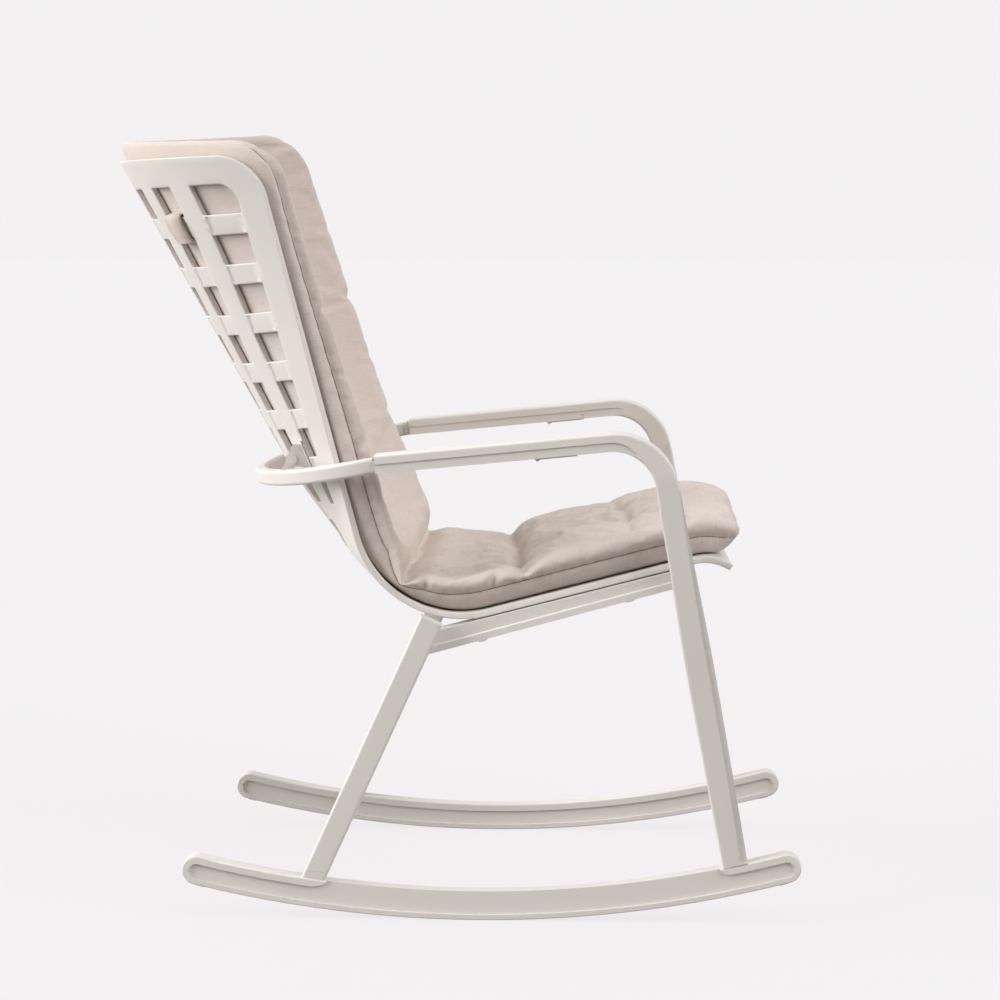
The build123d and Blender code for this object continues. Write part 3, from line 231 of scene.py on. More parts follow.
def stations(along):
    """Rim point (y, z), the direction down through the shell, and the sag, for distances along the rim."""
    along = np.asarray(along, float)
    lip_turn = (LIP_LONG - along) / LIP_RADIUS
    lip_mid = (
        LIP_START_Y + LIP_RADIUS * math.cos(SEAT_DOWN),
        seat_z(LIP_START_Y) - LIP_RADIUS * math.sin(SEAT_DOWN),
    )
    lip_down = SEAT_DOWN - lip_turn
    seat_y = LIP_START_Y + (along - LIP_LONG) * math.cos(SEAT_SLOPE)
    bend_mid = (
        BEND_SEAT_Y - BEND_RADIUS * math.cos(SEAT_DOWN),
        seat_z(BEND_SEAT_Y) + BEND_RADIUS * math.sin(SEAT_DOWN),
    )
    turn = np.clip((along - SEAT_END) / BEND_RADIUS, 0, BEND_TURN)
    bend_down = SEAT_DOWN - turn
    bend_sag = np.where(
        turn < FLEX_TURN,
        ramp(turn, 0, FLEX_TURN, SEAT_DISH, FLEX_SAG),
        ramp(turn, FLEX_TURN, BEND_TURN, FLEX_SAG, BEND_END_SAG),
    )
    z = BEND_BACK_Z + (along - BEND_END) * math.cos(BACK_LEAN)
    back_down = ramp(z, BEND_BACK_Z, BACK_TOP_Z, BACK_LEAN, TOP_TILT)
    reach = SPINE_MARK[0] + (z - SPINE_MARK[1]) * SPINE_RISE - back_y(z)
    sag = reach / (np.cos(back_down) + SPINE_RISE * np.sin(back_down))
    ease = ramp(z, BEND_BACK_Z, BEND_BACK_Z + SPINE_EASE, 1, 0)
    sag = sag + (BEND_END_SAG + (z - BEND_BACK_Z) * SPINE_EASE_RISE - sag) * ease
    parts = [along < LIP_LONG, along < SEAT_END, along < BEND_END]
    y = np.select(
        parts,
        [lip_mid[0] - LIP_RADIUS * np.cos(lip_down), seat_y, bend_mid[0] + BEND_RADIUS * np.cos(bend_down)],
        back_y(z),
    )
    up = np.select(
        parts,
        [
            lip_mid[1] + LIP_RADIUS * np.sin(lip_down),
            SEAT_MARK[1] - (seat_y - SEAT_MARK[0]) * math.tan(SEAT_SLOPE),
            bend_mid[1] - BEND_RADIUS * np.sin(bend_down),
        ],
        z,
    )
    down = np.select(parts, [lip_down, np.full_like(along, SEAT_DOWN), bend_down], back_down)
    dish = np.full_like(along, SEAT_DISH)
    return y, up, down, np.select(parts, [dish, dish, bend_sag], sag)


def half_width(along):
    """Half the arc length of the shell's cross-section."""
    sag = stations(along)[3]
    radius = (HALF**2 + sag**2) / (2 * sag)
    return radius * np.arcsin(HALF / radius)


def on_shell(across, along, lift):
    """Points at an arc length from the middle, a distance along the rim and a height out of the shell."""
    y, z, down, sag = stations(along)
    radius = (HALF**2 + sag**2) / (2 * sag)
    turn = across / radius
    reach = radius + lift
    depth = sag - radius + reach * np.cos(turn)
    return np.stack([reach * np.sin(turn), y + depth * np.cos(down), z - depth * np.sin(down)], -1)


def strip_edge(along):
    """How far out the outermost strip reaches; it spreads with the height of the back."""
    z = BEND_BACK_Z + (along - BEND_END) * math.cos(BACK_LEAN)
    return ramp(z, STRIP_EDGE_LOW[0], STRIP_EDGE_HIGH[0], STRIP_EDGE_LOW[1], STRIP_EDGE_HIGH[1])


def column_edges(along):
    """Where the windows of a row begin and end, from one rim to the other."""
    outer = strip_edge(along) - STRIP / 2
    inner_rim = half_width(along) - RIM
    edges = [-inner_rim]
    for share in STRIPS_AT:
        edges += [outer * share - STRIP / 2, outer * share + STRIP / 2]
    edges.append(inner_rim)
    return [(edges[i], edges[i + 1]) for i in range(0, len(edges), 2)]


def rounded_loop(corners, radii, step):
    """A closed loop through the corners of a polygon, each with a round of its own radius."""
    corners = [np.array(c, float) for c in corners]
    loop = []
    for i, here in enumerate(corners):
        back, ahead = corners[i - 1] - here, corners[(i + 1) % len(corners)] - here
        back, ahead = back / np.linalg.norm(back), ahead / np.linalg.norm(ahead)
        half = math.acos(np.clip(np.dot(back, ahead), -1, 1)) / 2
        reach = radii[i] / math.tan(half)
        first, last = here + back * reach, here + ahead * reach
        middle = here + (back + ahead) / np.linalg.norm(back + ahead) * (radii[i] / math.sin(half))
        sweep = math.pi - 2 * half
        count = max(3, int(sweep * radii[i] / (step * 0.3)))
        for k in range(count + 1):
            share = k / count
            spoke = (first - middle) * math.sin((1 - share) * sweep)
            spoke = spoke + (last - middle) * math.sin(share * sweep)
            loop.append(middle + spoke / math.sin(sweep))
    filled = []
    for i, here in enumerate(loop):
        ahead = loop[(i + 1) % len(loop)]
        pieces = max(1, int(np.linalg.norm(ahead - here) / step))
        filled += [here + (ahead - here) * k / pieces for k in range(pieces)]
    return np.array(filled)


def moved_in(loop, distance):
    """A loop moved sideways into the material: to the right of its direction of travel."""
    ahead = np.roll(loop, -1, 0) - np.roll(loop, 1, 0)
    ahead /= np.linalg.norm(ahead, axis=1, keepdims=True)
    return loop + distance * np.stack([ahead[:, 1], -ahead[:, 0]], -1)


def inside(points, loop):
    """Which points lie inside a closed loop."""
    x, y = points[:, :1], points[:, 1:]
    x0, y0 = loop[:, 0], loop[:, 1]
    x1, y1 = np.roll(x0, -1), np.roll(y0, -1)
    crosses = (y0 > y) != (y1 > y)
    with np.errstate(divide="ignore", invalid="ignore"):
        at = x0 + (y - y0) / (y1 - y0) * (x1 - x0)
    return (np.sum(crosses & (x < at), axis=1) % 2) == 1


def window_loops():
    """Every window of the lattice, as a loop that turns to the left."""
    loops = []
    for row in range(WINDOW_ROWS):
        high = along_back(WINDOW_TOP_Z - WINDOW_PITCH * row)
        low = along_back(WINDOW_TOP_Z - WINDOW_PITCH * row - WINDOW_TALL)
        for column, (top, foot) in enumerate(zip(column_edges(high), column_edges(low))):
            if foot[1] - foot[0] < NARROWEST_WINDOW:
                continue
            radii = [WINDOW_CORNER] * 4
            if row == 0 and column == 0:
                radii[3] = TOP_WINDOW_CORNER
            if row == 0 and column == len(STRIPS_AT):
                radii[2] = TOP_WINDOW_CORNER
            corners = [(foot[0], low), (foot[1], low), (top[1], high), (top[0], high)]
            loops.append(rounded_loop(corners, radii, LOOP_STEP))
    for y in SEAT_ROWS_Y:
        low, high = along_seat(y - SEAT_ROW_LONG / 2), along_seat(y + SEAT_ROW_LONG / 2)
        for left, right in column_edges(low)[1:-1]:
            corners = [(left, low), (right, low), (right, high), (left, high)]
            loops.append(rounded_loop(corners, [WINDOW_CORNER] * 4, LOOP_STEP))
    return loops


def shell_outline():
    """The shell's outer edge as a loop that turns to the right, with round corners at the top."""
    right = [(half_width(np.array(s)), s) for s in np.linspace(LIP_CORNER, RIM_END - RIM_CORNER, 120)]
    top = float(half_width(np.array(RIM_END)))
    low = float(half_width(np.array(RIM_END - RIM_CORNER)))
    arc = []
    for k in range(1, 16):
        turn = math.pi / 2 * k / 16
        side = low + (top - low) * math.sin(turn)
        arc.append((side - RIM_CORNER * (1 - math.cos(turn)), RIM_END - RIM_CORNER * (1 - math.sin(turn))))
    across = [(a, RIM_END) for a in np.linspace(top - RIM_CORNER, 0, 45)]
    front = [(a, 0.0) for a in np.linspace(0, HALF - LIP_CORNER, 40)]
    foot = []
    for turn in (0.4, 0.8, 1.2):
        side = HALF - LIP_CORNER + LIP_CORNER * math.sin(turn)
        foot.append((side, LIP_CORNER - LIP_CORNER * math.cos(turn)))
    side = front + foot + right + arc + across
    other = [(-a, s) for a, s in reversed(side)][1:-1]
    return np.array(side + other)[::-1]


def bars():
    """The stretches along the rim that the bars take up, between one row of windows and the next."""
    found = []
    for row in range(WINDOW_ROWS - 1):
        low = along_back(WINDOW_TOP_Z - WINDOW_PITCH * (row + 1))
        high = along_back(WINDOW_TOP_Z - WINDOW_PITCH * row - WINDOW_TALL)
        found.append((low, high))
    return found


def sunk_lift(across, along):
    """The outer face's height: the bars between the strips lie a little lower."""
    lift = np.full_like(across, THICK)
    on_bar = np.zeros_like(across)
    for low, high in bars():
        on_bar = np.maximum(on_bar, (along > low - 0.0004) & (along < high + 0.0004))
    for left, right in column_edges(along):
        inward = np.minimum(across - left, right - across) - SUNK_EDGE
        lift -= BAR_SUNK * smooth(inward, 0.0, SUNK_STEP) * on_bar
    return lift


def mesh_piece(name, points, faces, material):
    mesh = bpy.data.meshes.new(name)
    mesh.from_pydata([tuple(p) for p in points], [], faces)
    mesh.materials.append(material)
    mesh.polygons.foreach_set("use_smooth", [True] * len(mesh.polygons))
    piece = bpy.data.objects.new(name, mesh)
    bpy.context.scene.collection.objects.link(piece)
    return piece


def lattice_shell(material):
    """The moulded shell in one piece: flat faces between the windows, and round edges about them."""
    loops = [shell_outline()] + window_loops()
    flat, edges = [], []
    for loop in loops:
        face_loop = moved_in(loop, EDGE_ROUND)
        start = len(flat)
        flat += [tuple(p) for p in face_loop]
        edges += [(start + i, start + (i + 1) % len(loop)) for i in range(len(loop))]
    for side_line in step_lines():
        start = len(flat)
        flat += [tuple(p) for p in side_line]
        edges += [(start + i, start + i + 1) for i in range(len(side_line) - 1)]
    flat += [tuple(p) for p in spare_points(loops)]
    cut = delaunay_2d_cdt([Vector(p) for p in flat], edges, [], 0, 1e-7)
    plane = np.array([tuple(v) for v in cut[0]])
    triangles = np.array([f for f in cut[2] if len(f) == 3])
    middle = plane[triangles].mean(1)
    keep = inside(middle, moved_in(loops[0], EDGE_ROUND))
    for loop in loops[1:]:
        grown = moved_in(loop, EDGE_ROUND)
        near = keep & np.all((middle > grown.min(0)) & (middle < grown.max(0)), axis=1)
        keep[near] &= ~inside(middle[near], grown)
    triangles = triangles[keep]
    count = len(plane)
    outer = on_shell(plane[:, 0], plane[:, 1], sunk_lift(plane[:, 0], plane[:, 1]))
    inner = on_shell(plane[:, 0], plane[:, 1], 0.0)
    points = [outer, inner]
    faces = [tuple(t) for t in triangles] + [tuple(count + i for i in reversed(t)) for t in triangles]
    home = {}
    for new, olds in enumerate(cut[3]):
        for old in olds:
            home[old] = new
    total, start = 2 * count, 0
    for loop in loops:
        size = len(loop)
        rings = [[home[start + i] for i in range(size)]]
        for inset, drop in edge_profile():
            ring = moved_in(loop, inset)
            top = sunk_lift(*moved_in(loop, EDGE_ROUND).T)
            lift = top - drop if drop >= 0 else np.full(size, -drop)
            points.append(on_shell(ring[:, 0], ring[:, 1], lift))
            rings.append(list(range(total, total + size)))
            total += size
        rings.append([count + home[start + i] for i in range(size)])
        for one, two in zip(rings, rings[1:]):
            for i in range(size):
                j = (i + 1) % size
                faces.append((one[i], one[j], two[j], two[i]))
        start += size
    return mesh_piece("lattice_shell", np.concatenate(points), faces, material)


def edge_profile():
    """Steps round an edge: how far in, and how far below the outer face or, negative, above the inner one."""
    steps = []
    for turn in (30, 60, 90):
        t = math.radians(turn)
        steps.append((EDGE_ROUND * (1 - math.sin(t)), EDGE_ROUND * (1 - math.cos(t))))
    under = [(inset, -drop) for inset, drop in reversed(steps)]
    return steps + under


def step_lines():
    """Lines across the bars along the sides of the strips, so that each step is crisp."""
    lines = []
    for low, high in bars():
        rows = np.linspace(low + EDGE_ROUND + 0.0007, high - EDGE_ROUND - 0.0007, 6)
        for left, right in column_edges(rows):
            if np.min(right - left) < 0.012:
                continue
            for line in (left + SUNK_EDGE, left + SUNK_EDGE + SUNK_STEP):
                lines.append(np.stack([line, rows], -1))
            for line in (right - SUNK_EDGE, right - SUNK_EDGE - SUNK_STEP):
                lines.append(np.stack([line, rows], -1))
    return lines


def spare_points(loops):
    """Points between the windows that let the flat faces follow the curve."""
    rows = np.arange(0.006, RIM_END - 0.004, 0.010)
    found = []
    for s in rows:
        wide = float(half_width(np.array(s))) - 0.005
        found += [(a, s) for a in np.linspace(-wide, wide, 70)]
    found = np.array(found)
    free = inside(found, moved_in(loops[0], 0.004))
    for loop in loops[1:]:
        grown = moved_in(loop, 0.0035)
        near = free & np.all((found > grown.min(0)) & (found < grown.max(0)), axis=1)
        free[near] &= ~inside(found[near], grown)
    return found[free]


def pad_half(along):
    """Half the pad's width along the shell, with its corners rounded off at both ends."""
    beyond = ramp(along, SEAT_END, along_back(0.600), -0.003, 0.003)
    front = np.clip(PAD_FRONT + FRONT_CORNER - along, 0, FRONT_CORNER)
    top = np.clip(along - (PAD_TOP - TOP_CORNER), 0, TOP_CORNER)
    trimmed = FRONT_CORNER - np.sqrt(FRONT_CORNER**2 - front**2)
    trimmed = trimmed + TOP_CORNER - np.sqrt(TOP_CORNER**2 - top**2)
    return half_width(along) + beyond - trimmed


def size_along(along, on_seat, on_back):
    """A size that changes along the pad, from marks along the rim and marks at heights of the back."""
    places = [place for place, size in on_seat] + [along_back(z) for z, size in on_back]
    return np.interp(along, places, [size for place, size in on_seat + on_back])


def pad_edge(along):
    """The thickness that the pad puffs up to along its edges."""
    crease = 0.010 * np.exp(-(((along - CREASE_AT) / 0.020) ** 2))
    return size_along(along, EDGE_ON_SEAT, EDGE_ON_BACK) - crease


def seam_height(along):
    """How high the side seam runs over the shell."""
    return size_along(along, SEAM_ON_SEAT, SEAM_ON_BACK)


def sewn_rows():
    """Every line that the pad is drawn in along, from its front to its top: distance along, and depths."""
    rows = [(PAD_FRONT, 0.0, 0.0, 0.0)]
    rows += [(along_seat(y), *depths) for y, *depths in SEAT_SEWN]
    rows.append((CREASE_AT, *CREASE_DEPTHS))
    rows += [(along_back(z), *depths) for z, *depths in BACK_SEWN]
    rows.append((PAD_TOP, 0.0, 0.0, 0.0))
    return np.array(rows)


def pillow(share):
    """The swell between two sewn lines, from 0 on one line to 0 on the other."""
    return np.maximum(0.0, 1 - np.abs(2 * share - 1) ** 2.3) ** (1 / 2.3)


def between(value, lines):
    """Which two lines a value lies between, and its share of the way from one to the other."""
    lines = np.asarray(lines)
    first = np.clip(np.searchsorted(lines, value, side="right") - 1, 0, len(lines) - 2)
    return first, np.clip((value - lines[first]) / (lines[first + 1] - lines[first]), 0, 1)


def row_wander(across, along):
    """How far the sewn rows stray from straight: a slow wave, and a slant across the seat."""
    wave = 0.003 * np.sin(across * 17 + 0.8) + 0.002 * np.sin(across * 41)
    return wave + (0.014 - 0.070 * across) * smooth(CREASE_AT - along, 0.04, 0.12)


def tuft_stars(across, along, rows):
    """Small folds that fan out from every tuft."""
    rise = np.zeros_like(across)
    for row in rows[rows[:, 3] > 0]:
        for place in TUFTS_ACROSS:
            reach = np.hypot(across - place, along - row[0])
            turn = np.arctan2(along - row[0], across - place)
            ring = np.exp(-(((reach - STAR_REACH) / STAR_WIDTH) ** 2))
            height = STAR_HEIGHTS[0] if row[0] < CREASE_AT else STAR_HEIGHTS[1]
            height *= 1 + 0.35 * math.sin(70 * row[0] + 31 * place)
            rise += height * np.cos(8 * turn + 40 * place + 9 * row[0]) * ring
    return rise


def drawn_in(across, along, half):
    """How far the sewing pulls the face toward the shell, and how close a point is to a sewn line."""
    rows = sewn_rows()
    strayed = along + row_wander(across, along)
    first, share = between(strayed, rows[:, 0])
    mix = rows[first] * (1 - share)[:, None] + rows[first + 1] * share[:, None]
    edge_depth, inner_depth, tuft_depth = mix[:, 1], mix[:, 2], mix[:, 3]
    near_row = 1 - pillow(share)
    columns = np.concatenate([[-half], TUFTS_ACROSS, [half]])
    column, place = between(across, columns)
    inner = ((column > 0) | (place > 0.5)) & ((column < len(columns) - 2) | (place < 0.5))
    near_column = np.where(inner, 1 - pillow(place), 0.0)
    rim = smooth(np.abs(across) / half, 0.64, 0.92)
    depth = inner_depth + (edge_depth - inner_depth) * rim
    pull = depth * near_row + tuft_depth * (near_row * near_column) ** 1.1
    column_deep = ramp(along, CREASE_AT - 0.03, CREASE_AT + 0.03, *COLUMN_DEPTHS)
    pull += column_deep * near_column * (0.55 + 0.45 * near_row) * (1 - rim)
    pull -= tuft_stars(across, strayed, rows) * (1 - rim)
    gathers = np.sin(across * 205 + 1.3 * np.sin(across * 37) + 2.0 * first)
    pull += GATHER_DEPTH * gathers * near_row**1.6 * np.minimum(1, inner_depth / 0.010)
    return pull, np.maximum(near_row * np.minimum(1, inner_depth / 0.008), 0.8 * near_column)


def side_folds(along, height):
    """Folds that run down the side from the sewn rows to the seam: how far they press in."""
    folds = [(along_seat(y), *sizes) for y, *sizes in SEAT_FOLDS]
    folds += [(along_back(z), *sizes) for z, *sizes in BACK_FOLDS]
    press = np.zeros_like(height)
    for at, lean, depth, wide in folds:
        beside = (along - at - lean * (height - 0.5)) / wide
        press += depth * np.exp(-(beside**2)) * np.sin(np.pi * height) ** 0.7
    puckers = np.sin(along * 233 + 1.7 * np.sin(along * 61)) * np.exp(-((height - 0.10) / 0.16) ** 2)
    return press + 0.0009 * puckers


def pad_rows():
    """Distances along the rim, with how far, and to what height, a section is drawn together at the ends."""
    turns = [math.pi / 2 * k / 12 for k in range(13)]
    front, top = [], []
    for turn in turns:
        blunt = math.sin(turn) ** FRONT_BLUNT, math.cos(turn) ** FRONT_BLUNT
        front.insert(0, (PAD_FRONT + FRONT_ROLL * (1 - blunt[0]), blunt[1], FRONT_CENTRE))
        top.append((PAD_TOP - TOP_ROLL * (1 - math.sin(turn)), math.cos(turn), TOP_CENTRE))
    middle = [(s, 1.0, 0.5) for s in np.arange(front[-1][0] + PAD_STEP, top[0][0] - 0.002, PAD_STEP)]
    return [(s, max(0.04, gather), centre) for s, gather, centre in front + middle + top]


def pad_ring(along, gather, centre):
    """One closed section of the pad: distances across, heights over the shell, and how firmly it is held."""
    here = np.array([along])
    half = float(pad_half(here)[0])
    seam = float(seam_height(here)[0])
    full = float(pad_edge(here)[0])
    rim_pull = drawn_in(np.array([0.999, -0.999]) * half, np.full(2, along), half)[0]
    edge, near_edge = np.maximum(full - rim_pull, seam * 1.35)
    press = side_folds(np.full(len(SIDE_ABOVE), along), SIDE_ABOVE[:, 1])
    ripple = 0.0012 * math.sin(along * 171 + 1.1 * math.sin(along * 53))
    slant = float(ramp(along, CREASE_AT - 0.06, along_back(0.62), 1.0, 0.25))
    below = half + SIDE_BELOW[:, 0] * np.array([1, 0.7 + 0.3 * slant, slant, slant, slant, 1])
    below = below + ripple * np.array([0, 0.3, 0.8, 1, 0.8, 0.3])
    bulge = float(ramp(along, CREASE_AT, along_back(0.68), 1.0, 1.5))
    above = half + SIDE_ABOVE[:, 0] * np.where(SIDE_ABOVE[:, 0] > 0, bulge, 1.0) - press
    reach = half - FACE_INSET
    face = np.linspace(reach, -reach, PAD_ACROSS)
    crown = ramp(along, CREASE_AT, along_back(0.70), 0.007, 0.008)
    pull, sewn = drawn_in(face, np.full_like(face, along), half)
    thick = full + crown * (1 - (face / half) ** 2) - pull
    border = smooth(half - np.abs(face), 0.044, 0.105)
    level = np.where(face > 0, edge, near_edge)
    thick = level + (thick - level) * border
    back = np.linspace(-(half - UNDERSIDE_INSET), half - UNDERSIDE_INSET, PAD_ACROSS)
    side_lift = np.concatenate([seam * SIDE_BELOW[:, 1], seam + (edge - seam) * SIDE_ABOVE[:, 1]])
    near_lift = np.concatenate([seam * SIDE_BELOW[:, 1], seam + (near_edge - seam) * SIDE_ABOVE[:, 1]])
    side = np.concatenate([below, above])
    across = np.concatenate([back, side, face, -side[::-1]])
    lift = np.concatenate([np.zeros(PAD_ACROSS), side_lift, thick, near_lift[::-1]]) + PAD_GAP
    middle = PAD_GAP + edge * centre
    lift = middle + (lift - middle) * gather
    side_hold = np.concatenate([np.ones(SEAM_POINT + 1), np.linspace(0.55, 0.0, len(SIDE_ABOVE) - 1)])
    tuft = smooth(sewn, 0.12, 0.55)
    held = np.concatenate([np.ones(PAD_ACROSS), side_hold, tuft, side_hold[::-1]])
    return across, -lift, np.maximum(held, 1 - smooth(gather, 0.35, 0.98))


def loose_pad(material):
    """The pad in one piece: closed rings round its cross-sections, from the front edge to the top."""
    rings, held, flat = [], [], []
    for along, gather, centre in pad_rows():
        across, lift, hold = pad_ring(along, gather, centre)
        shift = PAD_SHIFT * float(smooth(along, along_back(0.56), along_back(0.70)))
        slump = PAD_SLUMP * float(smooth(along, along_back(0.95), along_back(1.13)))
        ring = on_shell(across + shift, along + slump * across, lift)
        rings.append(ring)
        held.append(hold)
        steps = np.linalg.norm(np.diff(ring, axis=0), axis=1)
        run = np.concatenate([[0], np.cumsum(steps)])
        flat.append(np.stack([run, np.full_like(run, along)], -1))
    rings, flat = np.array(rings), np.array(flat)
    rows, size = rings.shape[:2]
    faces = []
    for r in range(rows - 1):
        for i in range(size):
            j = (i + 1) % size
            faces.append((r * size + i, r * size + j, (r + 1) * size + j, (r + 1) * size + i))
    half_side = (size - 2 * PAD_ACROSS) // 4
    for r in (0, rows - 1):
        one = [r * size + (i - half_side) % size for i in range(size // 2)]
        two = [r * size + (size - 1 - half_side - i) % size for i in range(size // 2)]
        for k in range(size // 2 - 1):
            quad = (one[k], one[k + 1], two[k + 1], two[k])
            faces.append(quad[::-1] if r == 0 else quad)
    pad = mesh_piece("loose_pad", rings.reshape(-1, 3), faces, material)
    lay_cloth(pad, flat.reshape(-1, 2))
    swell(pad, np.concatenate(held))
    return pad


def rod_faces(base, sides, rings):
    """The faces of a rod whose points lie ring after ring, with a flat cap at each end."""
    faces = []
    for k in range(rings - 1):
        here, there = base + sides * k, base + sides * (k + 1)
        for i in range(sides):
            j = (i + 1) % sides
            faces.append((here + i, here + j, there + j, there + i))
    faces.append(tuple(base + i for i in range(sides))[::-1])
    faces.append(tuple(base + sides * (rings - 1) + i for i in range(sides)))
    return faces


def seam_shade_cords(pad, material):
    """The two sewn seams along the pad's sides, as thin sunk cords in a dark cloth: painted shade of the seam
    grooves.
    """
    size = 2 * PAD_ACROSS + 2 * (len(SIDE_BELOW) + len(SIDE_ABOVE))
    rows = len(pad_rows())
    points, faces = [], []
    for index in (PAD_ACROSS + SEAM_POINT, size - 1 - SEAM_POINT):
        line = np.array([pad.data.vertices[r * size + index].co for r in range(8, rows - 6)])
        ahead = np.gradient(line, axis=0)
        ahead /= np.linalg.norm(ahead, axis=1, keepdims=True)
        one = np.cross(ahead, (1, 0, 0))
        one /= np.linalg.norm(one, axis=1, keepdims=True)
        two = np.cross(ahead, one)
        base, sides = len(points), 6
        for k in range(len(line)):
            twist = SEAM_SHADE_CORD * (1 + 0.25 * math.sin(k * 2.1))
            for i in range(sides):
                turn = 2 * math.pi * i / sides
                points.append(line[k] + twist * (one[k] * math.cos(turn) + two[k] * math.sin(turn)))
        faces += rod_faces(base, sides, len(line))
    return mesh_piece("pad_seam_shade_cords", points, faces, material)


def lay_cloth(pad, flat):
    """The run of the threads: metres round the section and metres along the pad."""
    threads = pad.data.uv_layers.new(name="threads")
    corners = np.zeros(len(pad.data.loops), int)
    pad.data.loops.foreach_get("vertex_index", corners)
    laid = flat[corners]
    for face in pad.data.polygons:
        loop = slice(face.loop_start, face.loop_start + face.loop_total)
        if np.ptp(laid[loop, 0]) > 0.3:
            laid[loop, 0] = np.where(laid[loop, 0] < 0.3, flat[:, 0].max(), laid[loop, 0])
    threads.data.foreach_set("uv", laid.reshape(-1))


def swell(pad, held):
    """Cloth with air in it, held along the back, the seams and the tufts, then kept as the pad's own mesh."""
    scene = bpy.context.scene
    group = pad.vertex_groups.new(name="held")
    for index, weight in enumerate(held):
        group.add([index], float(weight), "REPLACE")
    before = np.array([v.co for v in pad.data.vertices])
    cloth = pad.modifiers.new("cloth", "CLOTH")
    cloth.settings.quality = 4
    cloth.settings.vertex_group_mass = "held"
    cloth.settings.use_pressure = True
    cloth.settings.uniform_pressure_force = 4
    cloth.settings.shrink_min = -0.03
    cloth.settings.effector_weights.gravity = 0
    cloth.collision_settings.use_collision = False
    for frame_number in range(1, SWELL_FRAMES + 1):
        scene.frame_set(frame_number)
    settled = pad.evaluated_get(bpy.context.evaluated_depsgraph_get()).to_mesh()
    after = np.array([v.co for v in settled.vertices])
    pad.modifiers.remove(cloth)
    pad.vertex_groups.remove(group)
    scene.frame_set(1)
    moved = after - before
    far = np.linalg.norm(moved, axis=1, keepdims=True)
    moved *= SWELL_CAP * np.tanh(far / SWELL_CAP) / np.maximum(far, 1e-9)
    pad.data.vertices.foreach_set("co", (before + moved).reshape(-1))
    finer = pad.modifiers.new("finer", "SUBSURF")
    finer.levels = 1
    mesh = bpy.data.meshes.new_from_object(pad.evaluated_get(bpy.context.evaluated_depsgraph_get()))
    pad.modifiers.remove(finer)
    pad.data = mesh


def strap_ribbon(name, side, material):
    """A strap of the pad: out of a window, round the first bar and back in, with a loose end over it."""
    low, high = bars()[0]
    left, right = column_edges(np.array([(low + high) / 2]))[-2]
    middle = side * float(left[0] + right[0]) / 2
    wide = STRAP_HALF_WIDTH
    section = ((1, -wide), (1, 0), (1, wide), (-1, wide), (-1, 0), (-1, -wide))
    route = (
        (high + 0.0065, -0.0015), (high + 0.0050, 0.0035), (high + 0.0026, 0.0105), (high - 0.003, 0.0136),
        ((low + high) / 2, 0.0146), (low + 0.003, 0.0138), (low - 0.0028, 0.0110), (low - 0.0055, 0.0040),
        (low - 0.0075, -0.0015),
    )
    loose_end = (
        (high + 0.0010, 0.0140), (high - 0.004, 0.0162), ((low + high) / 2, 0.0172), (low + 0.003, 0.0164),
        (low - 0.003, 0.0150), (low - 0.008, 0.0140),
    )
    points, faces = [], []
    for run in (route, loose_end):
        along, lift = smooth_run(run, 40)
        slope = np.gradient(along), np.gradient(lift)
        steep = np.hypot(*slope)
        out = np.stack([-slope[1] / steep, slope[0] / steep])
        base = len(points)
        for k in range(len(along)):
            for sign, edge in section:
                bow = 0.0006 * (1 - (edge / wide) ** 2)
                at = along[k] - sign * out[0][k] * STRAP_HALF_THICK
                up = lift[k] - sign * out[1][k] * STRAP_HALF_THICK + bow
                points.append(on_shell(np.array([middle + edge]), np.array([at]), np.array([up]))[0])
        faces += rod_faces(base, len(section), len(along))
    return mesh_piece(name, points, faces, material)


def smooth_run(run, count):
    """Points along a soft curve through a few marks."""
    run = np.array(run)
    share = np.linspace(0, len(run) - 1, count)
    first = np.clip(share.astype(int), 0, len(run) - 2)
    t = (share - first)[:, None]
    padded = np.vstack([2 * run[0] - run[1], run, 2 * run[-1] - run[-2]])
    p0, p1, p2, p3 = padded[first], padded[first + 1], padded[first + 2], padded[first + 3]
    curve = p1 + 0.5 * t * (p2 - p0 + t * (2 * p0 - 5 * p1 + 4 * p2 - p3 + t * (3 * (p1 - p2) + p3 - p0)))
    return curve[:, 0], curve[:, 1]


def new_material(name):
    material = bpy.data.materials.new(name)
    material.use_nodes = True
    tree = material.node_tree
    return material, tree, tree.nodes["Principled BSDF"]


def new_group(name, inputs, outputs):
    """An empty node group with colour and value sockets."""
    group = bpy.data.node_groups.new(name, "ShaderNodeTree")
    for socket, kind in inputs:
        group.interface.new_socket(name=socket, in_out="INPUT", socket_type=kind)
    for socket, kind in outputs:
        group.interface.new_socket(name=socket, in_out="OUTPUT", socket_type=kind)
    return group, group.nodes.new("NodeGroupInput"), group.nodes.new("NodeGroupOutput")


COLOUR, VALUE, VECTOR = "NodeSocketColor", "NodeSocketFloat", "NodeSocketVector"


def noise_node(tree, place, scale, detail):
    noise = tree.nodes.new("ShaderNodeTexNoise")
    noise.inputs["Scale"].default_value = scale
    noise.inputs["Detail"].default_value = detail
    tree.links.new(place, noise.inputs["Vector"])
    return noise.outputs["Fac"]


def spread_node(tree, value, low, high, to_low, to_high):
    spread = tree.nodes.new("ShaderNodeMapRange")
    for socket, number in (("From Min", low), ("From Max", high), ("To Min", to_low), ("To Max", to_high)):
        spread.inputs[socket].default_value = number
    tree.links.new(value, spread.inputs["Value"])
    return spread.outputs["Result"]


def mix_node(tree, factor, one, two):
    mix = tree.nodes.new("ShaderNodeMix")
    mix.data_type = "RGBA"
    tree.links.new(factor, mix.inputs["Factor"])
    tree.links.new(one, mix.inputs["A"])
    tree.links.new(two, mix.inputs["B"])
    return mix.outputs["Result"]


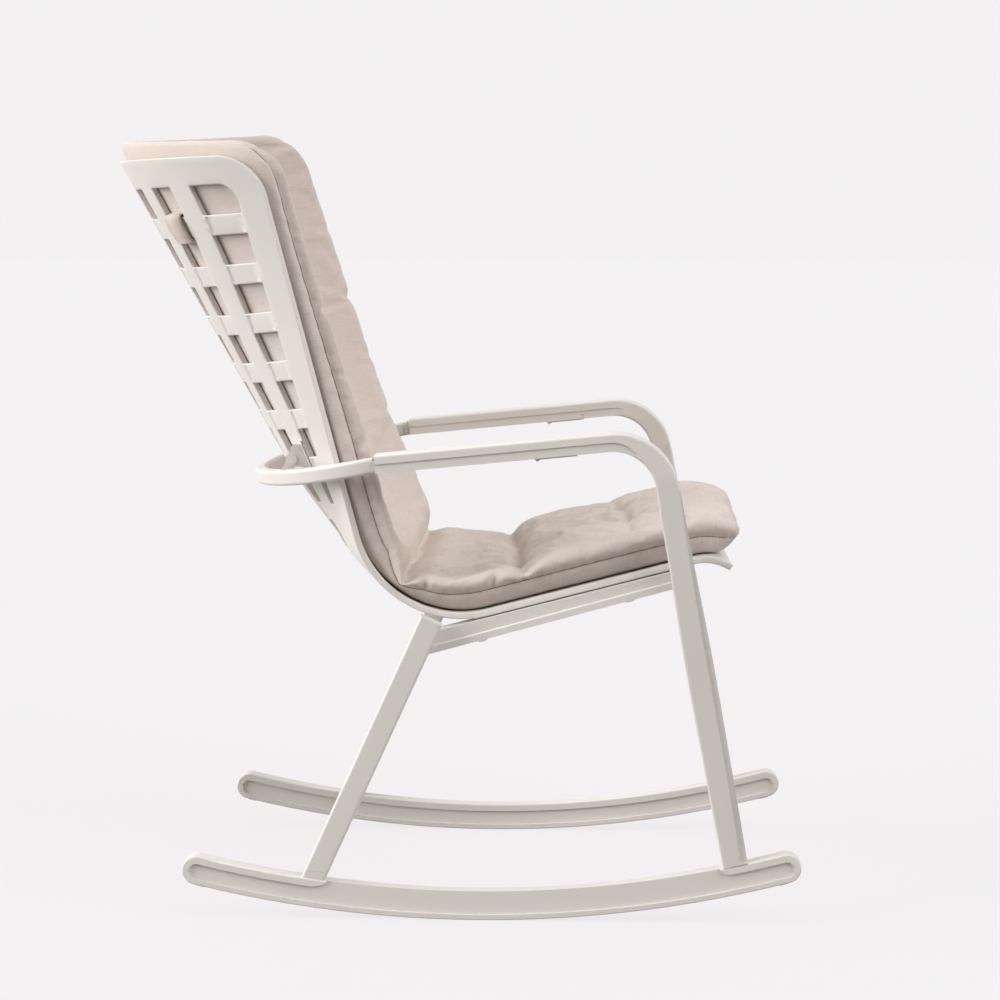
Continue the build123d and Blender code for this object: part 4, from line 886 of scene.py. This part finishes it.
def moulded_group():
    """Moulded resin: a fine grain, a slow change of tone toward a lighter colour, and a painted highlight
    that makes convex edges lighter.
    """
    group, given, result = new_group(
        "moulded_grain",
        [("Colour", COLOUR), ("Tone And Highlight Colour", COLOUR), ("Roughness", VALUE)],
        [("Colour", COLOUR), ("Roughness", VALUE), ("Height", VALUE)],
    )
    links = group.links
    place = group.nodes.new("ShaderNodeTexCoord").outputs["Object"]
    grain = noise_node(group, place, 1500, 3)
    tone = spread_node(group, noise_node(group, place, 6, 3), 0.35, 0.65, 0.0, 0.35)
    # Painted highlight: the sharper the edge, the more it is mixed toward the lighter colour
    pointed = group.nodes.new("ShaderNodeNewGeometry").outputs["Pointiness"]
    edge = spread_node(group, pointed, 0.52, 0.60, 0.0, 0.8)
    shaded = mix_node(group, tone, given.outputs["Colour"], given.outputs["Tone And Highlight Colour"])
    links.new(mix_node(group, edge, shaded, given.outputs["Tone And Highlight Colour"]), result.inputs["Colour"])
    rough = group.nodes.new("ShaderNodeMath")
    rough.operation = "MULTIPLY_ADD"
    links.new(spread_node(group, grain, 0.3, 0.7, -0.05, 0.06), rough.inputs[0])
    rough.inputs[1].default_value = 1.0
    links.new(given.outputs["Roughness"], rough.inputs[2])
    links.new(rough.outputs["Value"], result.inputs["Roughness"])
    links.new(grain, result.inputs["Height"])
    return group


def moulded_resin(name, group, colour, tone_and_highlight, roughness):
    material, tree, shader = new_material(name)
    grain = tree.nodes.new("ShaderNodeGroup")
    grain.node_tree = group
    grain.inputs["Colour"].default_value = (*colour, 1)
    # The lighter colour serves as a random tone and as the painted edge highlight
    grain.inputs["Tone And Highlight Colour"].default_value = (*tone_and_highlight, 1)
    grain.inputs["Roughness"].default_value = roughness
    bump = tree.nodes.new("ShaderNodeBump")
    bump.inputs["Strength"].default_value = 0.10
    bump.inputs["Distance"].default_value = 0.0004
    tree.links.new(grain.outputs["Colour"], shader.inputs["Base Color"])
    tree.links.new(grain.outputs["Roughness"], shader.inputs["Roughness"])
    tree.links.new(grain.outputs["Height"], bump.inputs["Height"])
    tree.links.new(bump.outputs["Normal"], shader.inputs["Normal"])
    return material


def weave_group():
    """A linen-like weave: threads both ways in metres of cloth, thicker slubs here and there, a worn tone."""
    group, given, result = new_group(
        "slub_weave",
        [("Threads", VECTOR), ("Dark", COLOUR), ("Light", COLOUR)],
        [("Colour", COLOUR), ("Height", VALUE)],
    )
    links = group.links
    fields = []
    for scale in ((70, 1500, 1), (1300, 110, 1), (16, 420, 1), (9, 9, 1)):
        stretch = group.nodes.new("ShaderNodeVectorMath")
        stretch.operation = "MULTIPLY"
        links.new(given.outputs["Threads"], stretch.inputs[0])
        stretch.inputs[1].default_value = scale
        fields.append(noise_node(group, stretch.outputs["Vector"], 1.0, 2))
    total = fields[0]
    for field, weight in zip(fields[1:], (0.60, 0.40, 0.30)):
        add = group.nodes.new("ShaderNodeMath")
        add.operation = "MULTIPLY_ADD"
        links.new(field, add.inputs[0])
        add.inputs[1].default_value = weight
        links.new(total, add.inputs[2])
        total = add.outputs["Value"]
    share = spread_node(group, total, 0.80, 1.50, 0.0, 1.0)
    links.new(mix_node(group, share, given.outputs["Dark"], given.outputs["Light"]), result.inputs["Colour"])
    links.new(share, result.inputs["Height"])
    return group


def woven_cloth(name, group, dark, light, place, bump_depth):
    """Woven cloth on the given coordinates: the laid threads of the pad or the object's own metres."""
    material, tree, shader = new_material(name)
    weave = tree.nodes.new("ShaderNodeGroup")
    weave.node_tree = group
    weave.inputs["Dark"].default_value = (*dark, 1)
    weave.inputs["Light"].default_value = (*light, 1)
    if place == "threads":
        where = tree.nodes.new("ShaderNodeUVMap")
        where.uv_map = "threads"
        tree.links.new(where.outputs["UV"], weave.inputs["Threads"])
    else:
        where = tree.nodes.new("ShaderNodeTexCoord")
        tree.links.new(where.outputs["Object"], weave.inputs["Threads"])
    bump = tree.nodes.new("ShaderNodeBump")
    bump.inputs["Strength"].default_value = 0.35
    bump.inputs["Distance"].default_value = bump_depth
    tree.links.new(weave.outputs["Colour"], shader.inputs["Base Color"])
    tree.links.new(weave.outputs["Height"], bump.inputs["Height"])
    tree.links.new(bump.outputs["Normal"], shader.inputs["Normal"])
    shader.inputs["Roughness"].default_value = 0.92
    shader.inputs["Specular IOR Level"].default_value = 0.25
    shader.inputs["Sheen Weight"].default_value = 0.12
    shader.inputs["Sheen Roughness"].default_value = 0.5
    return material


def worn_group():
    """Small parts: fine blotches that change the shine."""
    group, given, result = new_group(
        "handled_surface",
        [("Roughness", VALUE)],
        [("Roughness", VALUE), ("Height", VALUE)],
    )
    place = group.nodes.new("ShaderNodeTexCoord").outputs["Object"]
    blotch = noise_node(group, place, 320, 4)
    add = group.nodes.new("ShaderNodeMath")
    group.links.new(spread_node(group, blotch, 0.3, 0.7, -0.08, 0.08), add.inputs[0])
    group.links.new(given.outputs["Roughness"], add.inputs[1])
    group.links.new(add.outputs["Value"], result.inputs["Roughness"])
    group.links.new(blotch, result.inputs["Height"])
    return group


def small_part(name, group, colour, roughness, metallic):
    material, tree, shader = new_material(name)
    worn = tree.nodes.new("ShaderNodeGroup")
    worn.node_tree = group
    worn.inputs["Roughness"].default_value = roughness
    bump = tree.nodes.new("ShaderNodeBump")
    bump.inputs["Strength"].default_value = 0.08
    bump.inputs["Distance"].default_value = 0.0003
    tree.links.new(worn.outputs["Roughness"], shader.inputs["Roughness"])
    tree.links.new(worn.outputs["Height"], bump.inputs["Height"])
    tree.links.new(bump.outputs["Normal"], shader.inputs["Normal"])
    shader.inputs["Base Color"].default_value = (*colour, 1)
    shader.inputs["Metallic"].default_value = metallic
    return material


def dress(material, *names):
    for name in names:
        slots = NODES[name].data.materials
        slots.clear()
        slots.append(material)


def backdrop_rays(tree):
    """1 for a ray from the camera, a gloss or a glass, which see the backdrop, and 0 for bounced light."""
    path = tree.nodes.new("ShaderNodeLightPath")
    seen = path.outputs["Is Camera Ray"]
    for ray in ("Is Glossy Ray", "Is Transmission Ray"):
        either = tree.nodes.new("ShaderNodeMath")
        either.operation = "MAXIMUM"
        tree.links.new(seen, either.inputs[0])
        tree.links.new(path.outputs[ray], either.inputs[1])
        seen = either.outputs["Value"]
    return seen


def pale_floor():
    """A seamless pale floor: it gathers faint soft shadows, and throws little light back up."""
    bpy.ops.mesh.primitive_plane_add(size=FLOOR_SIZE)
    floor = bpy.context.object
    floor.name = "studio_floor"
    material = bpy.data.materials.new("studio_floor")
    material.use_nodes = True
    nodes, links = material.node_tree.nodes, material.node_tree.links
    nodes.remove(nodes["Principled BSDF"])
    seen = nodes.new("ShaderNodeBsdfDiffuse")
    seen.inputs["Color"].default_value = (*[FLOOR_SHADE * FLOOR_ALBEDO * c for c in BACKDROP], 1)
    glow = nodes.new("ShaderNodeEmission")
    glow.inputs["Color"].default_value = (*BACKDROP, 1)
    glow.inputs["Strength"].default_value = 1 - FLOOR_SHADE
    both = nodes.new("ShaderNodeAddShader")
    links.new(seen.outputs["BSDF"], both.inputs[0])
    links.new(glow.outputs["Emission"], both.inputs[1])
    unseen = nodes.new("ShaderNodeBsdfDiffuse")
    unseen.inputs["Color"].default_value = (*FLOOR_BOUNCE, 1)
    mix = nodes.new("ShaderNodeMixShader")
    links.new(backdrop_rays(material.node_tree), mix.inputs["Fac"])
    links.new(unseen.outputs["BSDF"], mix.inputs[1])
    links.new(both.outputs["Shader"], mix.inputs[2])
    links.new(mix.outputs["Shader"], nodes["Material Output"].inputs["Surface"])
    floor.data.materials.append(material)


def studio():
    """A dome of light that is brighter overhead and behind the chair, and two soft suns."""
    world = bpy.data.worlds.new("studio")
    bpy.context.scene.world = world
    world.use_nodes = True
    tree = world.node_tree
    nodes, links = tree.nodes, tree.links
    dome = nodes["Background"]
    toward = nodes.new("ShaderNodeVectorMath")
    toward.operation = "DOT_PRODUCT"
    links.new(nodes.new("ShaderNodeTexCoord").outputs["Generated"], toward.inputs[0])
    toward.inputs[1].default_value = Vector(DOME_BRIGHT).normalized()
    links.new(spread_node(tree, toward.outputs["Value"], -0.5, 1.0, *DOME_RANGE), dome.inputs["Strength"])
    wall = nodes.new("ShaderNodeBackground")
    wall.inputs["Color"].default_value = (*BACKDROP, 1)
    mix = nodes.new("ShaderNodeMixShader")
    links.new(backdrop_rays(tree), mix.inputs["Fac"])
    dome.inputs["Color"].default_value = (1, 1, 1, 1)
    links.new(dome.outputs["Background"], mix.inputs[1])
    links.new(wall.outputs["Background"], mix.inputs[2])
    links.new(mix.outputs["Shader"], nodes["World Output"].inputs["Surface"])
    for name, strength, aim, spread in SUNS:
        lamp = bpy.data.lights.new(name, "SUN")
        lamp.energy = strength
        lamp.angle = math.radians(spread)
        light = bpy.data.objects.new(name, lamp)
        light.rotation_mode = "QUATERNION"
        light.rotation_quaternion = Vector(aim).to_track_quat("-Z", "Y")
        bpy.context.scene.collection.objects.link(light)


def photo_camera():
    lens = bpy.data.cameras.new("photo_camera")
    lens.lens = CAMERA_LENS
    lens.sensor_width = 36
    camera = bpy.data.objects.new("photo_camera", lens)
    camera.location = CAMERA_AT
    yaw, pitch = math.radians(CAMERA_YAW), math.radians(CAMERA_PITCH)
    gaze = Vector((math.cos(pitch) * math.cos(yaw), math.cos(pitch) * math.sin(yaw), math.sin(pitch)))
    camera.rotation_mode = "QUATERNION"
    camera.rotation_quaternion = gaze.to_track_quat("-Z", "Y")
    bpy.context.scene.collection.objects.link(camera)
    bpy.context.scene.camera = camera


# Stage
pale_floor()
studio()
photo_camera()
bpy.context.scene.view_settings.view_transform = "Standard"

grain = moulded_group()
weave = weave_group()
worn = worn_group()
frame_resin = moulded_resin("frame_resin", grain, RESIN, RESIN_TONE_AND_HIGHLIGHT, 0.42)
shell_resin = moulded_resin("shell_resin", grain, RESIN, RESIN_TONE_AND_HIGHLIGHT, 0.46)
pad_cloth = woven_cloth("pad_cloth", weave, (0.575, 0.492, 0.437), (0.72, 0.636, 0.58), "threads", 0.0006)
# Dark cloth for the seam cords: painted shade of the seam grooves
painted_seam_shade = woven_cloth("painted_seam_shade", weave, (0.24, 0.19, 0.16), (0.34, 0.28, 0.24), "object", 0.0003)
webbing = woven_cloth("webbing", weave, (0.55, 0.46, 0.40), (0.74, 0.64, 0.575), "object", 0.0005)
zinc = small_part("zinc", worn, (0.62, 0.61, 0.59), 0.4, 1.0)
coated_steel = small_part("coated_steel", worn, (0.74, 0.70, 0.65), 0.5, 0.0)
grey_rubber = small_part("grey_rubber", worn, (0.42, 0.40, 0.38), 0.8, 0.0)

for word in ("left", "right"):
    for part in ("rocker", "front_leg_armrest", "rear_leg", "side_rail"):
        dress(frame_resin, word + "_" + part)
    for part in ("hoop_bracket", "release_lever", "hoop_pin", "lever_pin"):
        dress(frame_resin, word + "_" + part)
dress(frame_resin, "rear_hoop")
dress(coated_steel, "front_cross_bar", "rear_cross_bar")
dress(zinc, "seat_bolts", "foot_screws", "rail_screws")
dress(grey_rubber, "rocker_bumpers")

# The stretch about the shell's flex point, where the real shell and pad bend with the recline: its two ends
# on the middle line
FLEX_HALF = 0.05
FLEX_ENDS = on_shell(np.zeros(2), np.array([FLEX_AT - FLEX_HALF, FLEX_AT + FLEX_HALF]), np.zeros(2))

shell = lattice_shell(shell_resin)
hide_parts("seat_shell", "back_shell")
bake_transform(shell)

pad = loose_pad(pad_cloth)
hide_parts("seat_pad", "back_pad")
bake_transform(pad)

seams = seam_shade_cords(pad, painted_seam_shade)
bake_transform(seams)

for word, side in (("left", 1), ("right", -1)):
    strap = strap_ribbon(word + "_strap", side, webbing)
    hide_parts(word + "_pad_strap")
    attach(strap, "backrest")
